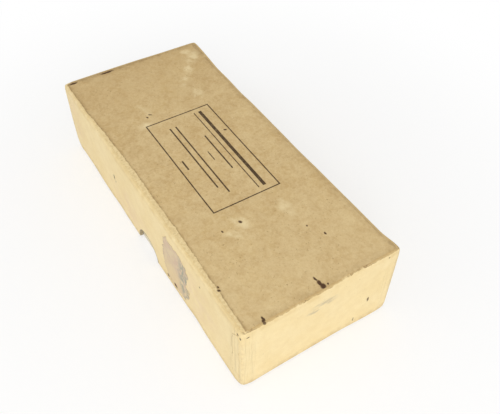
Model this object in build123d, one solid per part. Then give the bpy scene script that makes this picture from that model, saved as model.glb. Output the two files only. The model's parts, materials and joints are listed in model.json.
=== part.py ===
"""Lift-off lid carton of covered pasteboard, with two-window flying goggles and their spares inside.

The frame is that of the closed carton as it stands: X along its length, Y across it, Z up, and the
origin under its middle on the surface that it stands on. The carton is built round what it holds, so
its outer size follows from the goggles, the folded strap and the spares.
"""

import os

from build123d import *

os.makedirs("parts", exist_ok=True)

# Overrun of every cutting tool past the face that it cuts
overrun = 1.0
# Gap between pieces that sit on each other along a curved face
seat_gap = 0.05
# Gap under a soft or curved piece that lies loose on the tray's floor
rest_gap = 0.3

# Eye frame, one of a mirrored pair: outline, the pane's bow and the angle round the face
eye_width = 60.0
eye_height = 50.0
eye_corner = 14.0
nose_reach = 9.0
wrap_angle = 13.0
bow_radius = 95.0
rim_end_drop = 0.86
eye_outline_shares = ((0.0, 0.5), (1.0, 0.5), (1.0, -0.10), (0.78, -0.5), (0.30, -0.5), (0.0, -0.05))

# Rim, pane and the ring that holds the pane
rim_back = 2.2
rim_band = 3.0
rim_lip = 2.0
pane_thickness = 1.6
pane_clearance = 0.15
ring_thickness = 1.0
ring_inset = 0.4

# Ring screws
screw_radius = 0.6
screw_clearance = 0.08
screw_head_radius = 1.2
screw_head_height = 0.6
screw_length = 2.6
screw_slot_width = 0.35
screw_slot_depth = 0.3
screw_inset = 1.6
screw_height_share = 0.16
root_share = 0.8

# Eye cup behind the rim, with its vents
cup_depth = 12.0
cup_wall = 1.0
cup_outset = 0.6
cup_draw = 1.7
flange_thickness = 0.8
flange_width = 5.1
vent_width = 5.0
vent_height = 1.8
vent_pitch = 7.0
vent_count = 4
vent_place_share = 0.52
vent_depth_share = 0.55

# Face cushion
cushion_width = 9.0
cushion_depth = 11.0
cushion_outset = 2.0
cushion_neck = 1.4

# Bridge hinge
knuckle_radius = 2.1
hinge_pin_radius = 1.0
hinge_clearance = 0.05
knuckle_length = 4.0
knuckle_gap = 0.2
hinge_length = 14.0
hinge_low = 3.0
leaf_thickness = 1.2
leaf_drop = 0.8
leaf_gap = 0.6
pin_head_radius = 1.7
pin_head_height = 0.6
pin_head_gap = 0.1

# Strap lug and bail at each temple
lug_reach = 4.5
lug_length = 10.0
lug_radius = 1.7
lug_level = 2.0
bail_wire_radius = 0.8
bail_clearance = 0.08
bail_drop = 9.0
bail_corner = 2.6

# Folded head strap with its slide and end hooks
strap_width = 22.0
strap_thickness = 1.6
strap_fold_pitch = 2.4
strap_layers = 5
strap_end_shares = (0.0, 0.012, 0.0, 0.02, 0.008, 0.0)
strap_tail = 10.0
slide_wall = 1.0
slide_clearance = 0.35
slide_length = 9.0
slide_place_share = 0.35
hook_wall = 0.8
hook_grip = 6.0
hook_tongue_width = 9.0
hook_tongue_reach = 4.0
hook_curl_radius = 1.6

# Tin of anti-dimming paste
tin_diameter = 27.0
tin_height = 14.0
tin_wall = 0.4
tin_slip = 0.12
tin_lid_height = 6.5
tin_edge_radius = 0.9
tin_foot_chamfer = 0.5
tin_disc_share = 0.72
paste_height = 8.0
paste_clearance = 0.2

# Folded polishing cloth
cloth_length = 27.0
cloth_width = 36.0
cloth_thickness = 1.3
cloth_fold_pitch = 1.75
cloth_layers = 5
cloth_end_shares = (0.0, 0.03, 0.0, 0.05, 0.02, 0.0)

# Envelope of spare tinted panes
envelope_paper = 0.2
envelope_room = 0.35
envelope_flap_share = 0.42
envelope_flap_slope_share = 0.12

# Carton: pasteboard, papers, fits and room round the contents
board = 1.4
wrap_paper = 0.25
stay_paper = 0.12
top_sheet_paper = 0.2
lining_paper = 0.2
stay_leg = 18.0
hem_height = 10.0
rim_turnover = 3.4
top_sheet_inset = 1.6
slip_fit = 0.35
lid_floor_gap = 0.6
board_corner = 1.2
board_edge = 0.8
notch_radius = 12.0
notch_place = 2.5
divider_board = 0.8
divider_foot = 10.0
divider_side_gap = 0.25
divider_head_gap = 3.0
bay_room = 1.0
strip_room = 2.33
accessory_room = 0.93
head_room = 2.1

# Remnant of a torn paper label on one long side
remnant_paper = 0.1
remnant_width = 30.0
remnant_height = 39.0
remnant_middle_offset = 41.5
remnant_foot_gap = 5.5
remnant_outline_shares = (
    (-0.50, 0.30), (-0.42, 0.46), (-0.16, 0.50), (0.12, 0.44), (0.33, 0.47), (0.47, 0.28), (0.42, 0.05),
    (0.50, -0.18), (0.38, -0.40), (0.14, -0.50), (-0.12, -0.43), (-0.34, -0.47), (-0.46, -0.20), (-0.41, 0.04),
)

# Places worked out from the sizes above
bow_middle = nose_reach + eye_width / 2
bow_sag = bow_radius - (bow_radius**2 - (eye_width / 2) ** 2) ** 0.5
bow_rise = bow_sag - rim_end_drop
lug_place = nose_reach + eye_width + lug_reach
half_reach = lug_place + bail_drop + bail_wire_radius
goggles_bay = 2 * (half_reach + bay_room)
sight_inset = rim_band + rim_lip
pane_length = eye_width - 2 * (rim_band + pane_clearance)
pane_height = eye_height - 2 * (rim_band + pane_clearance)
pane_sag = bow_radius - (bow_radius**2 - (pane_length / 2) ** 2) ** 0.5
envelope_depth = 2 * pane_thickness + pane_sag + 3 * envelope_room + 2 * envelope_paper
slide_width = strap_width + 2 * (slide_clearance + slide_wall)
goggles_span = eye_height + 2 * cushion_outset

care_bay = max(tin_diameter, cloth_length)
cavity_length = goggles_bay + divider_board + envelope_depth + care_bay + 3 * accessory_room
cavity_width = goggles_span + slide_width + 3 * strip_room
tray_length = cavity_length + 2 * (2 * wrap_paper + board)
tray_width = cavity_width + 2 * (2 * wrap_paper + board)
lid_length = tray_length + 2 * (slip_fit + 2 * wrap_paper + board)
lid_width = tray_width + 2 * (slip_fit + 2 * wrap_paper + board)
cavity_floor = board + lining_paper

far_wall = -cavity_length / 2
front_wall = -cavity_width / 2
pin_x = cavity_length / 2 - goggles_bay / 2
divider_x = cavity_length / 2 - goggles_bay - divider_board / 2
goggles_y = cavity_width / 2 - strip_room - goggles_span / 2
strip_y = front_wall + strip_room + slide_width / 2
care_x = far_wall + envelope_depth + 2 * accessory_room + care_bay / 2
tin_y = front_wall + strip_room + tin_diameter / 2
cloth_y = cavity_width / 2 - strip_room - cloth_width / 2


def save(node, solid):
    """Write one named piece to its own file."""
    solid.label = node
    export_step(solid, f"parts/{node}.step")


def block(length, width, low, high, corner=0.0, edge=0.0):
    """Upright block round the Z axis, its upright and its top edges rounded where asked."""
    outline = RectangleRounded(length, width, corner) if corner else Rectangle(length, width)
    solid = extrude(outline, high - low)
    if edge:
        solid = fillet(solid.edges().group_by(Axis.Z)[-1], edge)
    return Pos(0, 0, low) * solid


# Goggles


def eye_outline(inset=0.0):
    """Outline of one eye frame on its own plane, drawn in by the inset."""
    corners = [(nose_reach + across * eye_width, up * eye_height) for across, up in eye_outline_shares]
    outline = make_face(Polyline(*corners, close=True))
    outline = fillet(outline.vertices(), eye_corner)
    return offset(outline, -inset, kind=Kind.ARC) if inset else outline


def bow_core(height):
    """Solid cylinder whose skin is the bow of the panes, raised by the height."""
    core = Cylinder(bow_radius + height, 2 * eye_height, rotation=(90, 0, 0))
    return Pos(bow_middle, 0, bow_rise - bow_radius) * core


def bowed(outline, low, high):
    """Plate of the outline, bent to the bow between two heights."""
    prism = extrude(outline, cup_depth + bow_radius / 2, both=True)
    return prism & (bow_core(high) - bow_core(low))


def bow_spot(x, y, height):
    """Location on the panes' bow, raised by the height, with its Z axis square to it."""
    run = x - bow_middle
    rise = ((bow_radius + height) ** 2 - run**2) ** 0.5
    normal = Vector(run, 0, rise).normalized()
    along = Vector(0, 1, 0).cross(normal)
    return Location(Plane((x, y, bow_rise - bow_radius + rise), x_dir=along, z_dir=normal))


def ring_screw_spots():
    """Places under the heads of the two ring screws, one at the nose and one at the temple."""
    level = screw_height_share * eye_height
    seat = pane_thickness + 3 * seat_gap + ring_thickness
    places = (nose_reach + screw_inset, nose_reach + eye_width - screw_inset)
    return [bow_spot(x, level, seat) for x in places]


def tube_along_y(radius, low, high, x=0.0, z=0.0):
    """Round bar along Y between two places."""
    return Pos(x, (low + high) / 2, z) * Cylinder(radius, high - low, rotation=(90, 0, 0))


def plate(x_low, x_high, y_low, y_high, z_low, z_high):
    """Square block between named faces."""
    size = Box(x_high - x_low, y_high - y_low, z_high - z_low)
    return Pos((x_low + x_high) / 2, (y_low + y_high) / 2, (z_low + z_high) / 2) * size


def knuckle_spans(is_right):
    """Stretches of the hinge line that one half's knuckles take."""
    top = hinge_low + hinge_length
    if is_right:
        return [(hinge_low, hinge_low + knuckle_length), (top - knuckle_length, top)]
    return [(hinge_low + knuckle_length + knuckle_gap, top - knuckle_length - knuckle_gap)]


def hinge_leaf(is_right):
    """Leaf and knuckles that join one rim to the bridge pin."""
    low = -leaf_drop - leaf_thickness / 2
    high = low + leaf_thickness
    root = nose_reach + root_share * rim_band
    leaf = plate(knuckle_radius + leaf_gap, root, hinge_low, hinge_low + hinge_length, low, high)
    for start, end in knuckle_spans(is_right):
        leaf += tube_along_y(knuckle_radius, start, end)
        leaf += plate(0, knuckle_radius + 2 * leaf_gap, start, end, low, high)
    return leaf - tube_along_y(hinge_pin_radius + hinge_clearance, 0, hinge_low + hinge_length + overrun)


def temple_lug():
    """Curled lug at the temple end that carries the bail."""
    low = lug_level - lug_length / 2
    level = -leaf_drop
    root = nose_reach + eye_width - root_share * rim_band
    lug = plate(root, lug_place, low, low + lug_length, level - leaf_thickness / 2, level + leaf_thickness / 2)
    lug += tube_along_y(lug_radius, low, low + lug_length, lug_place, level)
    bore = bail_wire_radius + bail_clearance
    return lug - tube_along_y(bore, low - overrun, low + lug_length + overrun, lug_place, level)


def eye_rim(is_right):
    """Metal rim with the pane's rebate, its hinge leaf and its strap lug."""
    rim = bowed(eye_outline(), -rim_back, pane_thickness)
    rim += hinge_leaf(is_right)
    rim += temple_lug()
    rim -= bowed(eye_outline(sight_inset), -2 * rim_back, 2 * pane_thickness)
    rim -= bowed(eye_outline(rim_band), 0, 2 * pane_thickness)
    return rim - screw_holes()


def eye_pane():
    """Bowed window pane."""
    return bowed(eye_outline(rim_band + pane_clearance), seat_gap, pane_thickness - seat_gap)


def pane_ring():
    """Ring laid over the rim's front that holds the pane in."""
    low = pane_thickness + seat_gap
    ring = bowed(eye_outline(ring_inset), low, low + ring_thickness)
    ring -= bowed(eye_outline(sight_inset), low - overrun, low + ring_thickness + overrun)
    return ring - screw_holes()


def screw_holes():
    """Clearance bars of the two ring screws."""
    bar = Cylinder(screw_radius + screw_clearance, 4 * screw_length)
    return [spot * bar for spot in ring_screw_spots()]


def ring_screws():
    """Two slotted screws through the ring into the rim."""
    head = Pos(0, 0, screw_head_height / 2) * Cylinder(screw_head_radius, screw_head_height)
    shank = Pos(0, 0, -screw_length / 2) * Cylinder(screw_radius, screw_length)
    slot = Pos(0, 0, screw_head_height) * Box(screw_slot_width, 2 * screw_head_radius, 2 * screw_slot_depth)
    screw = head + shank - slot
    return Compound([spot * screw for spot in ring_screw_spots()])


def cup_core(inset):
    """Solid of the cup's flare, its foot drawn in by the inset and its top by the draw as well."""
    foot = Pos(0, 0, -cup_depth) * eye_outline(inset)
    top = Pos(0, 0, bow_rise) * eye_outline(inset + cup_draw)
    return loft([foot, top], ruled=True)


def eye_cup():
    """Flared cup behind the rim with its vents and the flange for the cushion."""
    wall = cup_core(-cup_outset) - cup_core(cup_wall - cup_outset)
    wall &= bow_core(-rim_back - seat_gap)
    flange = eye_outline(-cup_outset) - eye_outline(flange_width - cup_outset)
    cup = wall + Pos(0, 0, -cup_depth - flange_thickness) * extrude(flange, flange_thickness)
    middle = nose_reach + vent_place_share * eye_width
    slot = extrude(Plane.XZ * SlotOverall(vent_width, vent_height), eye_height, both=True)
    for number in range(vent_count):
        shift = (number - (vent_count - 1) / 2) * vent_pitch
        cup -= Pos(middle + shift, 0, -vent_depth_share * cup_depth) * slot
    return cup


def face_cushion():
    """Padded ring with a crown, drawn in to a neck where it meets the flange."""
    level = -cup_depth - flange_thickness - seat_gap
    path = Pos(0, 0, level) * eye_outline(cushion_width / 2 - cushion_outset).face().outer_wire()
    start = path @ 0
    tangent = path % 0
    section_plane = Plane(start, x_dir=tangent.cross(Vector(0, 0, 1)), z_dir=tangent)
    oval = Pos(0, (cushion_depth - cushion_neck) / 2) * Ellipse(cushion_width / 2, (cushion_depth + cushion_neck) / 2)
    oval -= Pos(0, -cushion_neck / 2) * Rectangle(2 * cushion_width, cushion_neck)
    return sweep(section_plane * oval, path=path)


def strap_bail():
    """Wire bail hanging from the origin, its top side along Y."""
    reach = strap_width / 2 + slide_clearance + bail_wire_radius
    corners = [(0, reach, 0), (0, reach, -bail_drop), (0, -reach, -bail_drop), (0, -reach, 0)]
    path = FilletPolyline(*corners, radius=bail_corner, close=True)
    wire = sweep(Plane(path @ 0, z_dir=path % 0) * Circle(bail_wire_radius), path=path)
    return wire


def bridge_pin():
    """Headed pin through the knuckles of both halves."""
    low = hinge_low - pin_head_gap
    high = hinge_low + hinge_length + pin_head_gap
    pin = tube_along_y(hinge_pin_radius, low, high)
    pin += tube_along_y(pin_head_radius, low - pin_head_height, low)
    return pin + tube_along_y(pin_head_radius, high, high + pin_head_height)


def folded_band(run, tail, width, thickness, pitches, end_shares):
    """Flat band folded back on itself, its lowest face on the origin and its middle over it.

    Each pitch is the step up to the next layer, and each share draws one fold in a little. The
    tails run past the folds at both free ends.
    """
    sides = [1 if number % 2 == 0 else -1 for number in range(len(pitches))]
    turns = [side * (run / 2 - share * run) for side, share in zip(sides, end_shares)]
    ends = [-run / 2 - tail, *turns, -sides[-1] * (run / 2 + tail)]
    levels = [thickness / 2 + sum(pitches[:number]) for number in range(len(pitches) + 1)]
    band = None
    for level, start, end in zip(levels, ends, ends[1:]):
        low, high = sorted((start, end))
        layer = plate(low, high, -width / 2, width / 2, level - thickness / 2, level + thickness / 2)
        band = layer if band is None else band + layer
    for level, side, turn, pitch in zip(levels, sides, turns, pitches):
        ring = Circle(pitch / 2 + thickness / 2) - Circle(pitch / 2 - thickness / 2)
        half = ring & Pos(side * pitch, 0) * Rectangle(2 * pitch, 4 * pitch)
        band += Pos(turn, 0, level + pitch / 2) * extrude(Plane.XZ * half, width / 2, both=True)
    return band


# Head strap


strap_lift = rest_gap + hook_wall + seat_gap
slide_pitch = strap_thickness + 2 * slide_clearance + slide_wall
strap_pitches = [strap_fold_pitch] * (strap_layers - 2) + [slide_pitch]
hook_reach = seat_gap + hook_wall + hook_tongue_reach + hook_curl_radius + hook_wall
strap_run = goggles_bay - 2 * (bay_room + hook_reach + strap_tail)
strap_top_level = strap_lift + sum(strap_pitches) + strap_thickness / 2


def head_strap():
    """Elastic strap folded to and fro, its top layer raised for the slide."""
    return folded_band(strap_run, strap_tail, strap_width, strap_thickness, strap_pitches, strap_end_shares)


def strap_slide():
    """Sheet metal slide closed round one layer of the strap."""
    inner_width = strap_width + 2 * slide_clearance
    inner_height = strap_thickness + 2 * slide_clearance
    outer = Box(slide_length, slide_width, inner_height + 2 * slide_wall)
    outer = fillet(outer.edges().filter_by(Axis.X), slide_wall)
    return outer - Box(2 * slide_length, inner_width, inner_height)


def strap_hook():
    """Clamp over the strap's end with a tongue curled up into a hook, the strap ending at the origin."""
    half = strap_thickness / 2 + seat_gap
    width = strap_width / 2
    web = seat_gap + hook_wall
    clamp = plate(-hook_grip, web, -width, width, -half - hook_wall, half + hook_wall)
    clamp -= plate(-hook_grip - overrun, seat_gap, -width - overrun, width + overrun, -half, half)
    end = web + hook_tongue_reach
    tongue_half = hook_tongue_width / 2
    tongue = plate(seat_gap, end, -tongue_half, tongue_half, -half - hook_wall, -half)
    ring = Circle(hook_curl_radius + hook_wall) - Circle(hook_curl_radius)
    curl = ring & Pos(hook_curl_radius + hook_wall, 0) * Rectangle(
        2 * (hook_curl_radius + hook_wall), 4 * hook_curl_radius
    )
    tongue += Pos(end, 0, -half + hook_curl_radius) * extrude(Plane.XZ * curl, tongue_half, both=True)
    return clamp + tongue


# Spares and care things


def tin_base():
    """Round tin pot with a wall that the lid slips over."""
    radius = tin_diameter / 2 - tin_wall - tin_slip
    pot = Cylinder(radius, tin_height - tin_wall, align=(Align.CENTER, Align.CENTER, Align.MIN))
    pot = chamfer(pot.edges().group_by(Axis.Z)[0], tin_foot_chamfer)
    hollow = Cylinder(radius - tin_wall, tin_height, align=(Align.CENTER, Align.CENTER, Align.MIN))
    return pot - Pos(0, 0, tin_wall) * hollow


def tin_lid():
    """Slip lid with a rounded edge and a shallow raised disc on its top."""
    radius = tin_diameter / 2
    low = tin_height - tin_lid_height
    cap = Pos(0, 0, low) * Cylinder(radius, tin_lid_height, align=(Align.CENTER, Align.CENTER, Align.MIN))
    cap = fillet(cap.edges().group_by(Axis.Z)[-1], tin_edge_radius)
    hollow = Cylinder(radius - tin_wall, tin_lid_height, align=(Align.CENTER, Align.CENTER, Align.MAX))
    cap -= Pos(0, 0, tin_height - tin_wall) * hollow
    disc = Cylinder(radius * tin_disc_share, tin_wall, align=(Align.CENTER, Align.CENTER, Align.MIN))
    return cap + Pos(0, 0, tin_height) * disc


def tin_paste():
    """Cake of paste in the pot."""
    radius = tin_diameter / 2 - 2 * tin_wall - tin_slip - paste_clearance
    return Cylinder(radius, paste_height, align=(Align.CENTER, Align.CENTER, Align.MIN))


def polishing_cloth():
    """Soft cloth folded to and fro into a pad."""
    run = cloth_length - cloth_fold_pitch - cloth_thickness
    pitches = [cloth_fold_pitch] * (cloth_layers - 1)
    return folded_band(run, 0, cloth_width, cloth_thickness, pitches, cloth_end_shares)


def spare_envelope():
    """Paper pocket standing on its fold, open at the top, with a flap turned down in front."""
    pocket = plate(0, envelope_depth, -envelope_width / 2, envelope_width / 2, 0, envelope_height)
    paper = envelope_paper
    pocket -= plate(
        paper, envelope_depth - paper, paper - envelope_width / 2, envelope_width / 2 - paper,
        paper, envelope_height + overrun,
    )
    drop = envelope_flap_share * envelope_height
    slope = envelope_flap_slope_share * envelope_width
    half = envelope_width / 2
    corners = [(-half, 0), (half, 0), (half - slope, -drop), (slope - half, -drop)]
    sheet = extrude(Plane.YZ * make_face(Polyline(*corners, close=True)), paper)
    front = envelope_depth + seat_gap
    flap = Pos(front, 0, envelope_height) * sheet
    turn = plate(envelope_depth - paper, front + paper, -half, half, envelope_height, envelope_height + paper)
    return pocket + flap + turn


def standing_pane(depth):
    """Spare pane stood on its long edge, its crown towards the envelope's flap."""
    centred = Pos(-bow_middle, 0, pane_sag - bow_rise) * eye_pane()
    level = envelope_paper + envelope_room + pane_height / 2
    frame = Plane((depth, 0, level), x_dir=(0, 1, 0), z_dir=(1, 0, 0))
    return frame.location * centred


# Carton


def wall_ring(length, width, low, high, wall, corner):
    """Four walls round the Z axis, of one thickness, inside the length and width given."""
    outer = block(length, width, low, high, corner)
    return outer - block(length - 2 * wall, width - 2 * wall, low - overrun, high + overrun)


def corner_stays(length, width, low, high, corner):
    """Paper strips folded round the four upright corners of a board of that length and width."""
    stays = block(length + 2 * stay_paper, width + 2 * stay_paper, low, high, corner + stay_paper)
    stays -= block(length, width, low - overrun, high + overrun, corner)
    span_x = length - 2 * stay_leg
    span_y = width - 2 * stay_leg
    stays -= block(span_x, 2 * width, low - overrun, high + overrun)
    return stays - block(2 * length, span_y, low - overrun, high + overrun)


def thumb_notches():
    """Round bar across the carton whose upper half cuts a notch in both long sides of the lid."""
    return Pos(notch_place, 0, lid_floor_gap) * Cylinder(notch_radius, 2 * lid_width, rotation=(90, 0, 0))


def lid_board():
    """Pasteboard shell of the lid with its two thumb notches."""
    low = lid_floor_gap + wrap_paper
    shell = block(lid_board_length, lid_board_width, low, lid_board_top, board_corner, board_edge)
    shell -= block(lid_board_length - 2 * board, lid_board_width - 2 * board, low - overrun, tray_top)
    return shell - thumb_notches()


def lid_corner_stays():
    """Paper stays on the lid's four upright corners."""
    low = lid_floor_gap + wrap_paper
    return corner_stays(lid_board_length, lid_board_width, low, lid_board_top - board_edge, board_corner)


def lid_side_wrap():
    """Cover paper of the lid's sides, turned over the top edge and in under the lower one."""
    low = lid_floor_gap
    high = lid_board_top + wrap_paper
    wrap = block(lid_length, lid_width, low, high, board_corner + wrap_paper, board_edge + wrap_paper)
    wrap -= block(
        lid_board_length, lid_board_width, low + wrap_paper, lid_board_top, board_corner, board_edge
    )
    inner_length = lid_board_length - 2 * board
    inner_width = lid_board_width - 2 * board
    wrap -= block(inner_length, inner_width, low - overrun, low + wrap_paper + overrun)
    wrap -= block(top_opening_length, top_opening_width, lid_board_top - overrun, high + overrun)
    wrap += wall_ring(inner_length, inner_width, low, low + hem_height, wrap_paper, 0)
    return wrap - thumb_notches() - lid_corner_stays()


def lid_top_sheet():
    """Printed cover sheet pasted over the turned-down rim and pressed to the board inside it."""
    seat = lid_board_top
    over = seat + wrap_paper
    sheet = block(top_opening_length, top_opening_width, seat, over)
    length = lid_length - 2 * top_sheet_inset
    width = lid_width - 2 * top_sheet_inset
    return sheet + block(length, width, over, over + top_sheet_paper, board_corner)


def label_remnant():
    """What is left of a paper label on the long side that faces -Y."""
    places = [(across * remnant_width, up * remnant_height) for across, up in remnant_outline_shares]
    face = make_face(Polyline(*places, close=True))
    level = lid_floor_gap + remnant_foot_gap + remnant_height / 2
    paper = extrude(Plane.XZ * face, remnant_paper)
    return Pos(remnant_middle_offset, -lid_width / 2, level) * paper


def tray_board():
    """Pasteboard tray that the lid slides down over."""
    high = tray_top - wrap_paper
    shell = block(tray_board_length, tray_board_width, 0, high, board_corner)
    return shell - block(tray_board_length - 2 * board, tray_board_width - 2 * board, board, high + overrun)


def tray_corner_stays():
    """Paper stays on the tray's four upright corners."""
    high = tray_top - 2 * wrap_paper
    return corner_stays(tray_board_length, tray_board_width, 0, high, board_corner)


def tray_wrap():
    """White cover paper of the tray's walls, turned in over their top edge."""
    seat = tray_top - wrap_paper
    wrap = block(tray_length, tray_width, 0, tray_top, board_corner + wrap_paper)
    wrap -= block(tray_board_length, tray_board_width, -overrun, seat, board_corner)
    inner_length = tray_board_length - 2 * board
    inner_width = tray_board_width - 2 * board
    wrap -= block(inner_length, inner_width, seat - overrun, tray_top + overrun)
    wrap += wall_ring(inner_length, inner_width, tray_top - hem_height, tray_top, wrap_paper, 0)
    return wrap - tray_corner_stays()


def floor_lining():
    """Paper sheet over the tray's floor."""
    return block(tray_board_length - 2 * board, tray_board_width - 2 * board, board, cavity_floor)


def tray_divider():
    """Card across the tray with a foot folded under the goggles' side."""
    half = cavity_width / 2 - divider_side_gap
    left = divider_x - divider_board / 2
    right = divider_x + divider_board / 2
    card = plate(left, right, -half, half, cavity_floor, tray_top - divider_head_gap)
    foot_start = strip_y + slide_width / 2 + strip_room
    return card + plate(left, right + divider_foot, foot_start, half, cavity_floor, cavity_floor + divider_board)


# Heights worked out from the goggles as they lie, temples down, and as they open flat
cushion_rest = Rot(0, wrap_angle, 0) * face_cushion()
pin_z = cavity_floor + rest_gap - cushion_rest.bounding_box().min.Z
flat_top = max(pane_ring().bounding_box().max.Z, ring_screws().bounding_box().max.Z, knuckle_radius)
envelope_width = pane_length + 2 * (envelope_room + envelope_paper)
envelope_height = pane_height + 3 * envelope_room + envelope_paper
envelope_top = cavity_floor + rest_gap + envelope_height + envelope_paper
tray_top = max(pin_z + flat_top, envelope_top) + head_room
lid_board_top = tray_top + board
carton_height = lid_board_top + wrap_paper + top_sheet_paper
lid_board_length = lid_length - 2 * wrap_paper
lid_board_width = lid_width - 2 * wrap_paper
tray_board_length = tray_length - 2 * wrap_paper
tray_board_width = tray_width - 2 * wrap_paper
top_opening_length = lid_length - 2 * rim_turnover
top_opening_width = lid_width - 2 * rim_turnover


def laid(piece, is_right):
    """A piece of one eye, turned down to the wrap angle and set on the bridge pin in the tray."""
    turned = Rot(0, wrap_angle, 0) * piece
    if not is_right:
        turned = mirror(turned, about=Plane.YZ)
    return Pos(pin_x, goggles_y, pin_z) * turned


def hung_bail(is_right):
    """Bail hanging straight down from its lug, whatever the angle of the eye."""
    lug = Rot(0, wrap_angle, 0) * Pos(lug_place, lug_level, -leaf_drop)
    place = lug.position
    bail = Pos(place.X, place.Y, place.Z) * strap_bail()
    if not is_right:
        bail = mirror(bail, about=Plane.YZ)
    return Pos(pin_x, goggles_y, pin_z) * bail


def write_goggles():
    """Write both eyes, the bridge pin and the bails."""
    for side, is_right in (("left", False), ("right", True)):
        save(f"{side}_eye_rim", laid(eye_rim(is_right), is_right))
        save(f"{side}_eye_cup", laid(eye_cup(), is_right))
        save(f"{side}_face_cushion", laid(face_cushion(), is_right))
        save(f"{side}_window_pane", laid(eye_pane(), is_right))
        save(f"{side}_pane_ring", laid(pane_ring(), is_right))
        save(f"{side}_ring_screws", laid(ring_screws(), is_right))
        save(f"{side}_strap_bail", hung_bail(is_right))
    save("bridge_pin", Pos(pin_x, goggles_y, pin_z) * bridge_pin())


def write_strap():
    """Write the folded strap, its slide and its two end hooks."""
    base = Pos(pin_x, strip_y, cavity_floor)
    save("head_strap", base * Pos(0, 0, strap_lift) * head_strap())
    slide_x = strap_run * (slide_place_share - 1 / 2)
    save("strap_slide", base * Pos(slide_x, 0, strap_top_level) * strap_slide())
    end = strap_run / 2 + strap_tail
    save("strap_hook_right", base * Pos(end, 0, strap_top_level) * strap_hook())
    low_hook = mirror(strap_hook(), about=Plane.YZ)
    save("strap_hook_left", base * Pos(-end, 0, strap_lift + strap_thickness / 2) * low_hook)


def write_spares():
    """Write the tin, the cloth and the envelope with its two panes."""
    tin_place = Pos(care_x, tin_y, cavity_floor)
    save("paste_tin_base", tin_place * tin_base())
    save("paste_tin_lid", tin_place * tin_lid())
    save("paste_cake", tin_place * Pos(0, 0, tin_wall) * tin_paste())
    save("polishing_cloth", Pos(care_x, cloth_y, cavity_floor + rest_gap) * polishing_cloth())
    envelope_place = Pos(far_wall + accessory_room, 0, cavity_floor)
    save("spare_pane_envelope", envelope_place * spare_envelope())
    first = envelope_paper + envelope_room
    second = first + pane_thickness + envelope_room
    save("spare_pane_inner", envelope_place * standing_pane(first))
    save("spare_pane_outer", envelope_place * standing_pane(second))


def write_carton():
    """Write the lid and the tray with their papers."""
    save("lid_board", lid_board())
    save("lid_corner_stays", lid_corner_stays())
    save("lid_side_wrap", lid_side_wrap())
    save("lid_top_sheet", lid_top_sheet())
    save("label_remnant", label_remnant())
    save("tray_board", tray_board())
    save("tray_corner_stays", tray_corner_stays())
    save("tray_wrap", tray_wrap())
    save("tray_floor_lining", floor_lining())
    save("tray_divider", tray_divider())


write_carton()
write_goggles()
write_strap()
write_spares()
print(f"Closed carton {lid_length:.2f} x {lid_width:.2f} x {carton_height:.2f} mm")
print(f"Cavity {cavity_length:.2f} x {cavity_width:.2f}, floor {cavity_floor:.2f}, tray top {tray_top:.2f} mm")
print(f"Bridge pin at {pin_x:.2f}, {goggles_y:.2f}, {pin_z:.2f} mm")
print(f"Strap run {strap_run:.1f} mm, in all about {strap_layers * strap_run + 2 * strap_tail:.0f} mm")
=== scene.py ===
"""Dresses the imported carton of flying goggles: worn papers, leather, webbing, glass, metals and light.

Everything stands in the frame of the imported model: X along the carton, Y across it, Z up, in metres. The
sizes in the classes are in millimetres, and MM turns them to metres.
"""

import json
import logging
import math
from dataclasses import dataclass, field
from enum import Enum
from functools import lru_cache
from typing import Iterable, Optional, Sequence, Union

import bmesh
import bpy
from mathutils import Matrix, Vector, geometry, noise


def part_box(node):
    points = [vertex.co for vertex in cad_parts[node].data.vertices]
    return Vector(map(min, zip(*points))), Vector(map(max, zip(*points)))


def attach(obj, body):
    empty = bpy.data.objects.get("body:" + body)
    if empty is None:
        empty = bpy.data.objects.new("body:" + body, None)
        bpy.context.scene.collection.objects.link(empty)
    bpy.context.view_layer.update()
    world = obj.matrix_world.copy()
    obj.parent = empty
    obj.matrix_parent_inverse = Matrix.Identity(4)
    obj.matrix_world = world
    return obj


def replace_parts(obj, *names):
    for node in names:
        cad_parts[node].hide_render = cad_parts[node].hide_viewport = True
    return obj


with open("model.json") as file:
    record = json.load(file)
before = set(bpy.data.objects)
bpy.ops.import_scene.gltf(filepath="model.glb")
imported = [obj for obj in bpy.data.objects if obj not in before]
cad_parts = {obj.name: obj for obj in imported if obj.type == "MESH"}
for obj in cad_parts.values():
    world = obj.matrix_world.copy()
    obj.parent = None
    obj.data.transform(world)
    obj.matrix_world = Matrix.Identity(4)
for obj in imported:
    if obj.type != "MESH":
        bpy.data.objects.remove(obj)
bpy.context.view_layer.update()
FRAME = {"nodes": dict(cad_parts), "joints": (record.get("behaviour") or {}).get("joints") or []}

MM = 0.001
LOG = logging.getLogger("carton")
# Start of the noise vectors that wave the papers. Without one they follow the clock
WAVE_SEED = 69

Triple = tuple[float, float, float]
Socket = bpy.types.NodeSocket
Colour = Union[Socket, tuple[float, float, float, float]]

# Where the lid's near end, its far long side and its top are, in whole millimetres
LID_END, LID_SIDE = (float(round(value / MM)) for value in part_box("lid_side_wrap")[1].xy)
LID_TOP = float(round(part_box("lid_top_sheet")[1].z / MM))
# Half size of a box that has no end in a direction
FAR = 400.0


class Body(Enum):
    """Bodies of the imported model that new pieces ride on."""

    TRAY = "tray"
    LID = "lid"
    RIGHT_EYE = "right_eye"


class Side(Enum):
    """The two eyes of the goggles, with the sign of their X."""

    LEFT = -1
    RIGHT = 1


def linear(colour: str) -> tuple[float, float, float, float]:
    """Turns an sRGB hex colour into linear values.

    Args:
        colour: Six hex digits after a hash sign.

    Returns:
        Linear red, green and blue, and an alpha of one.
    """
    shares = [int(colour[start : start + 2], 16) / 255 for start in (1, 3, 5)]
    red, green, blue = (s / 12.92 if s <= 0.04045 else ((s + 0.055) / 1.055) ** 2.4 for s in shares)
    return red, green, blue, 1.0


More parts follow.
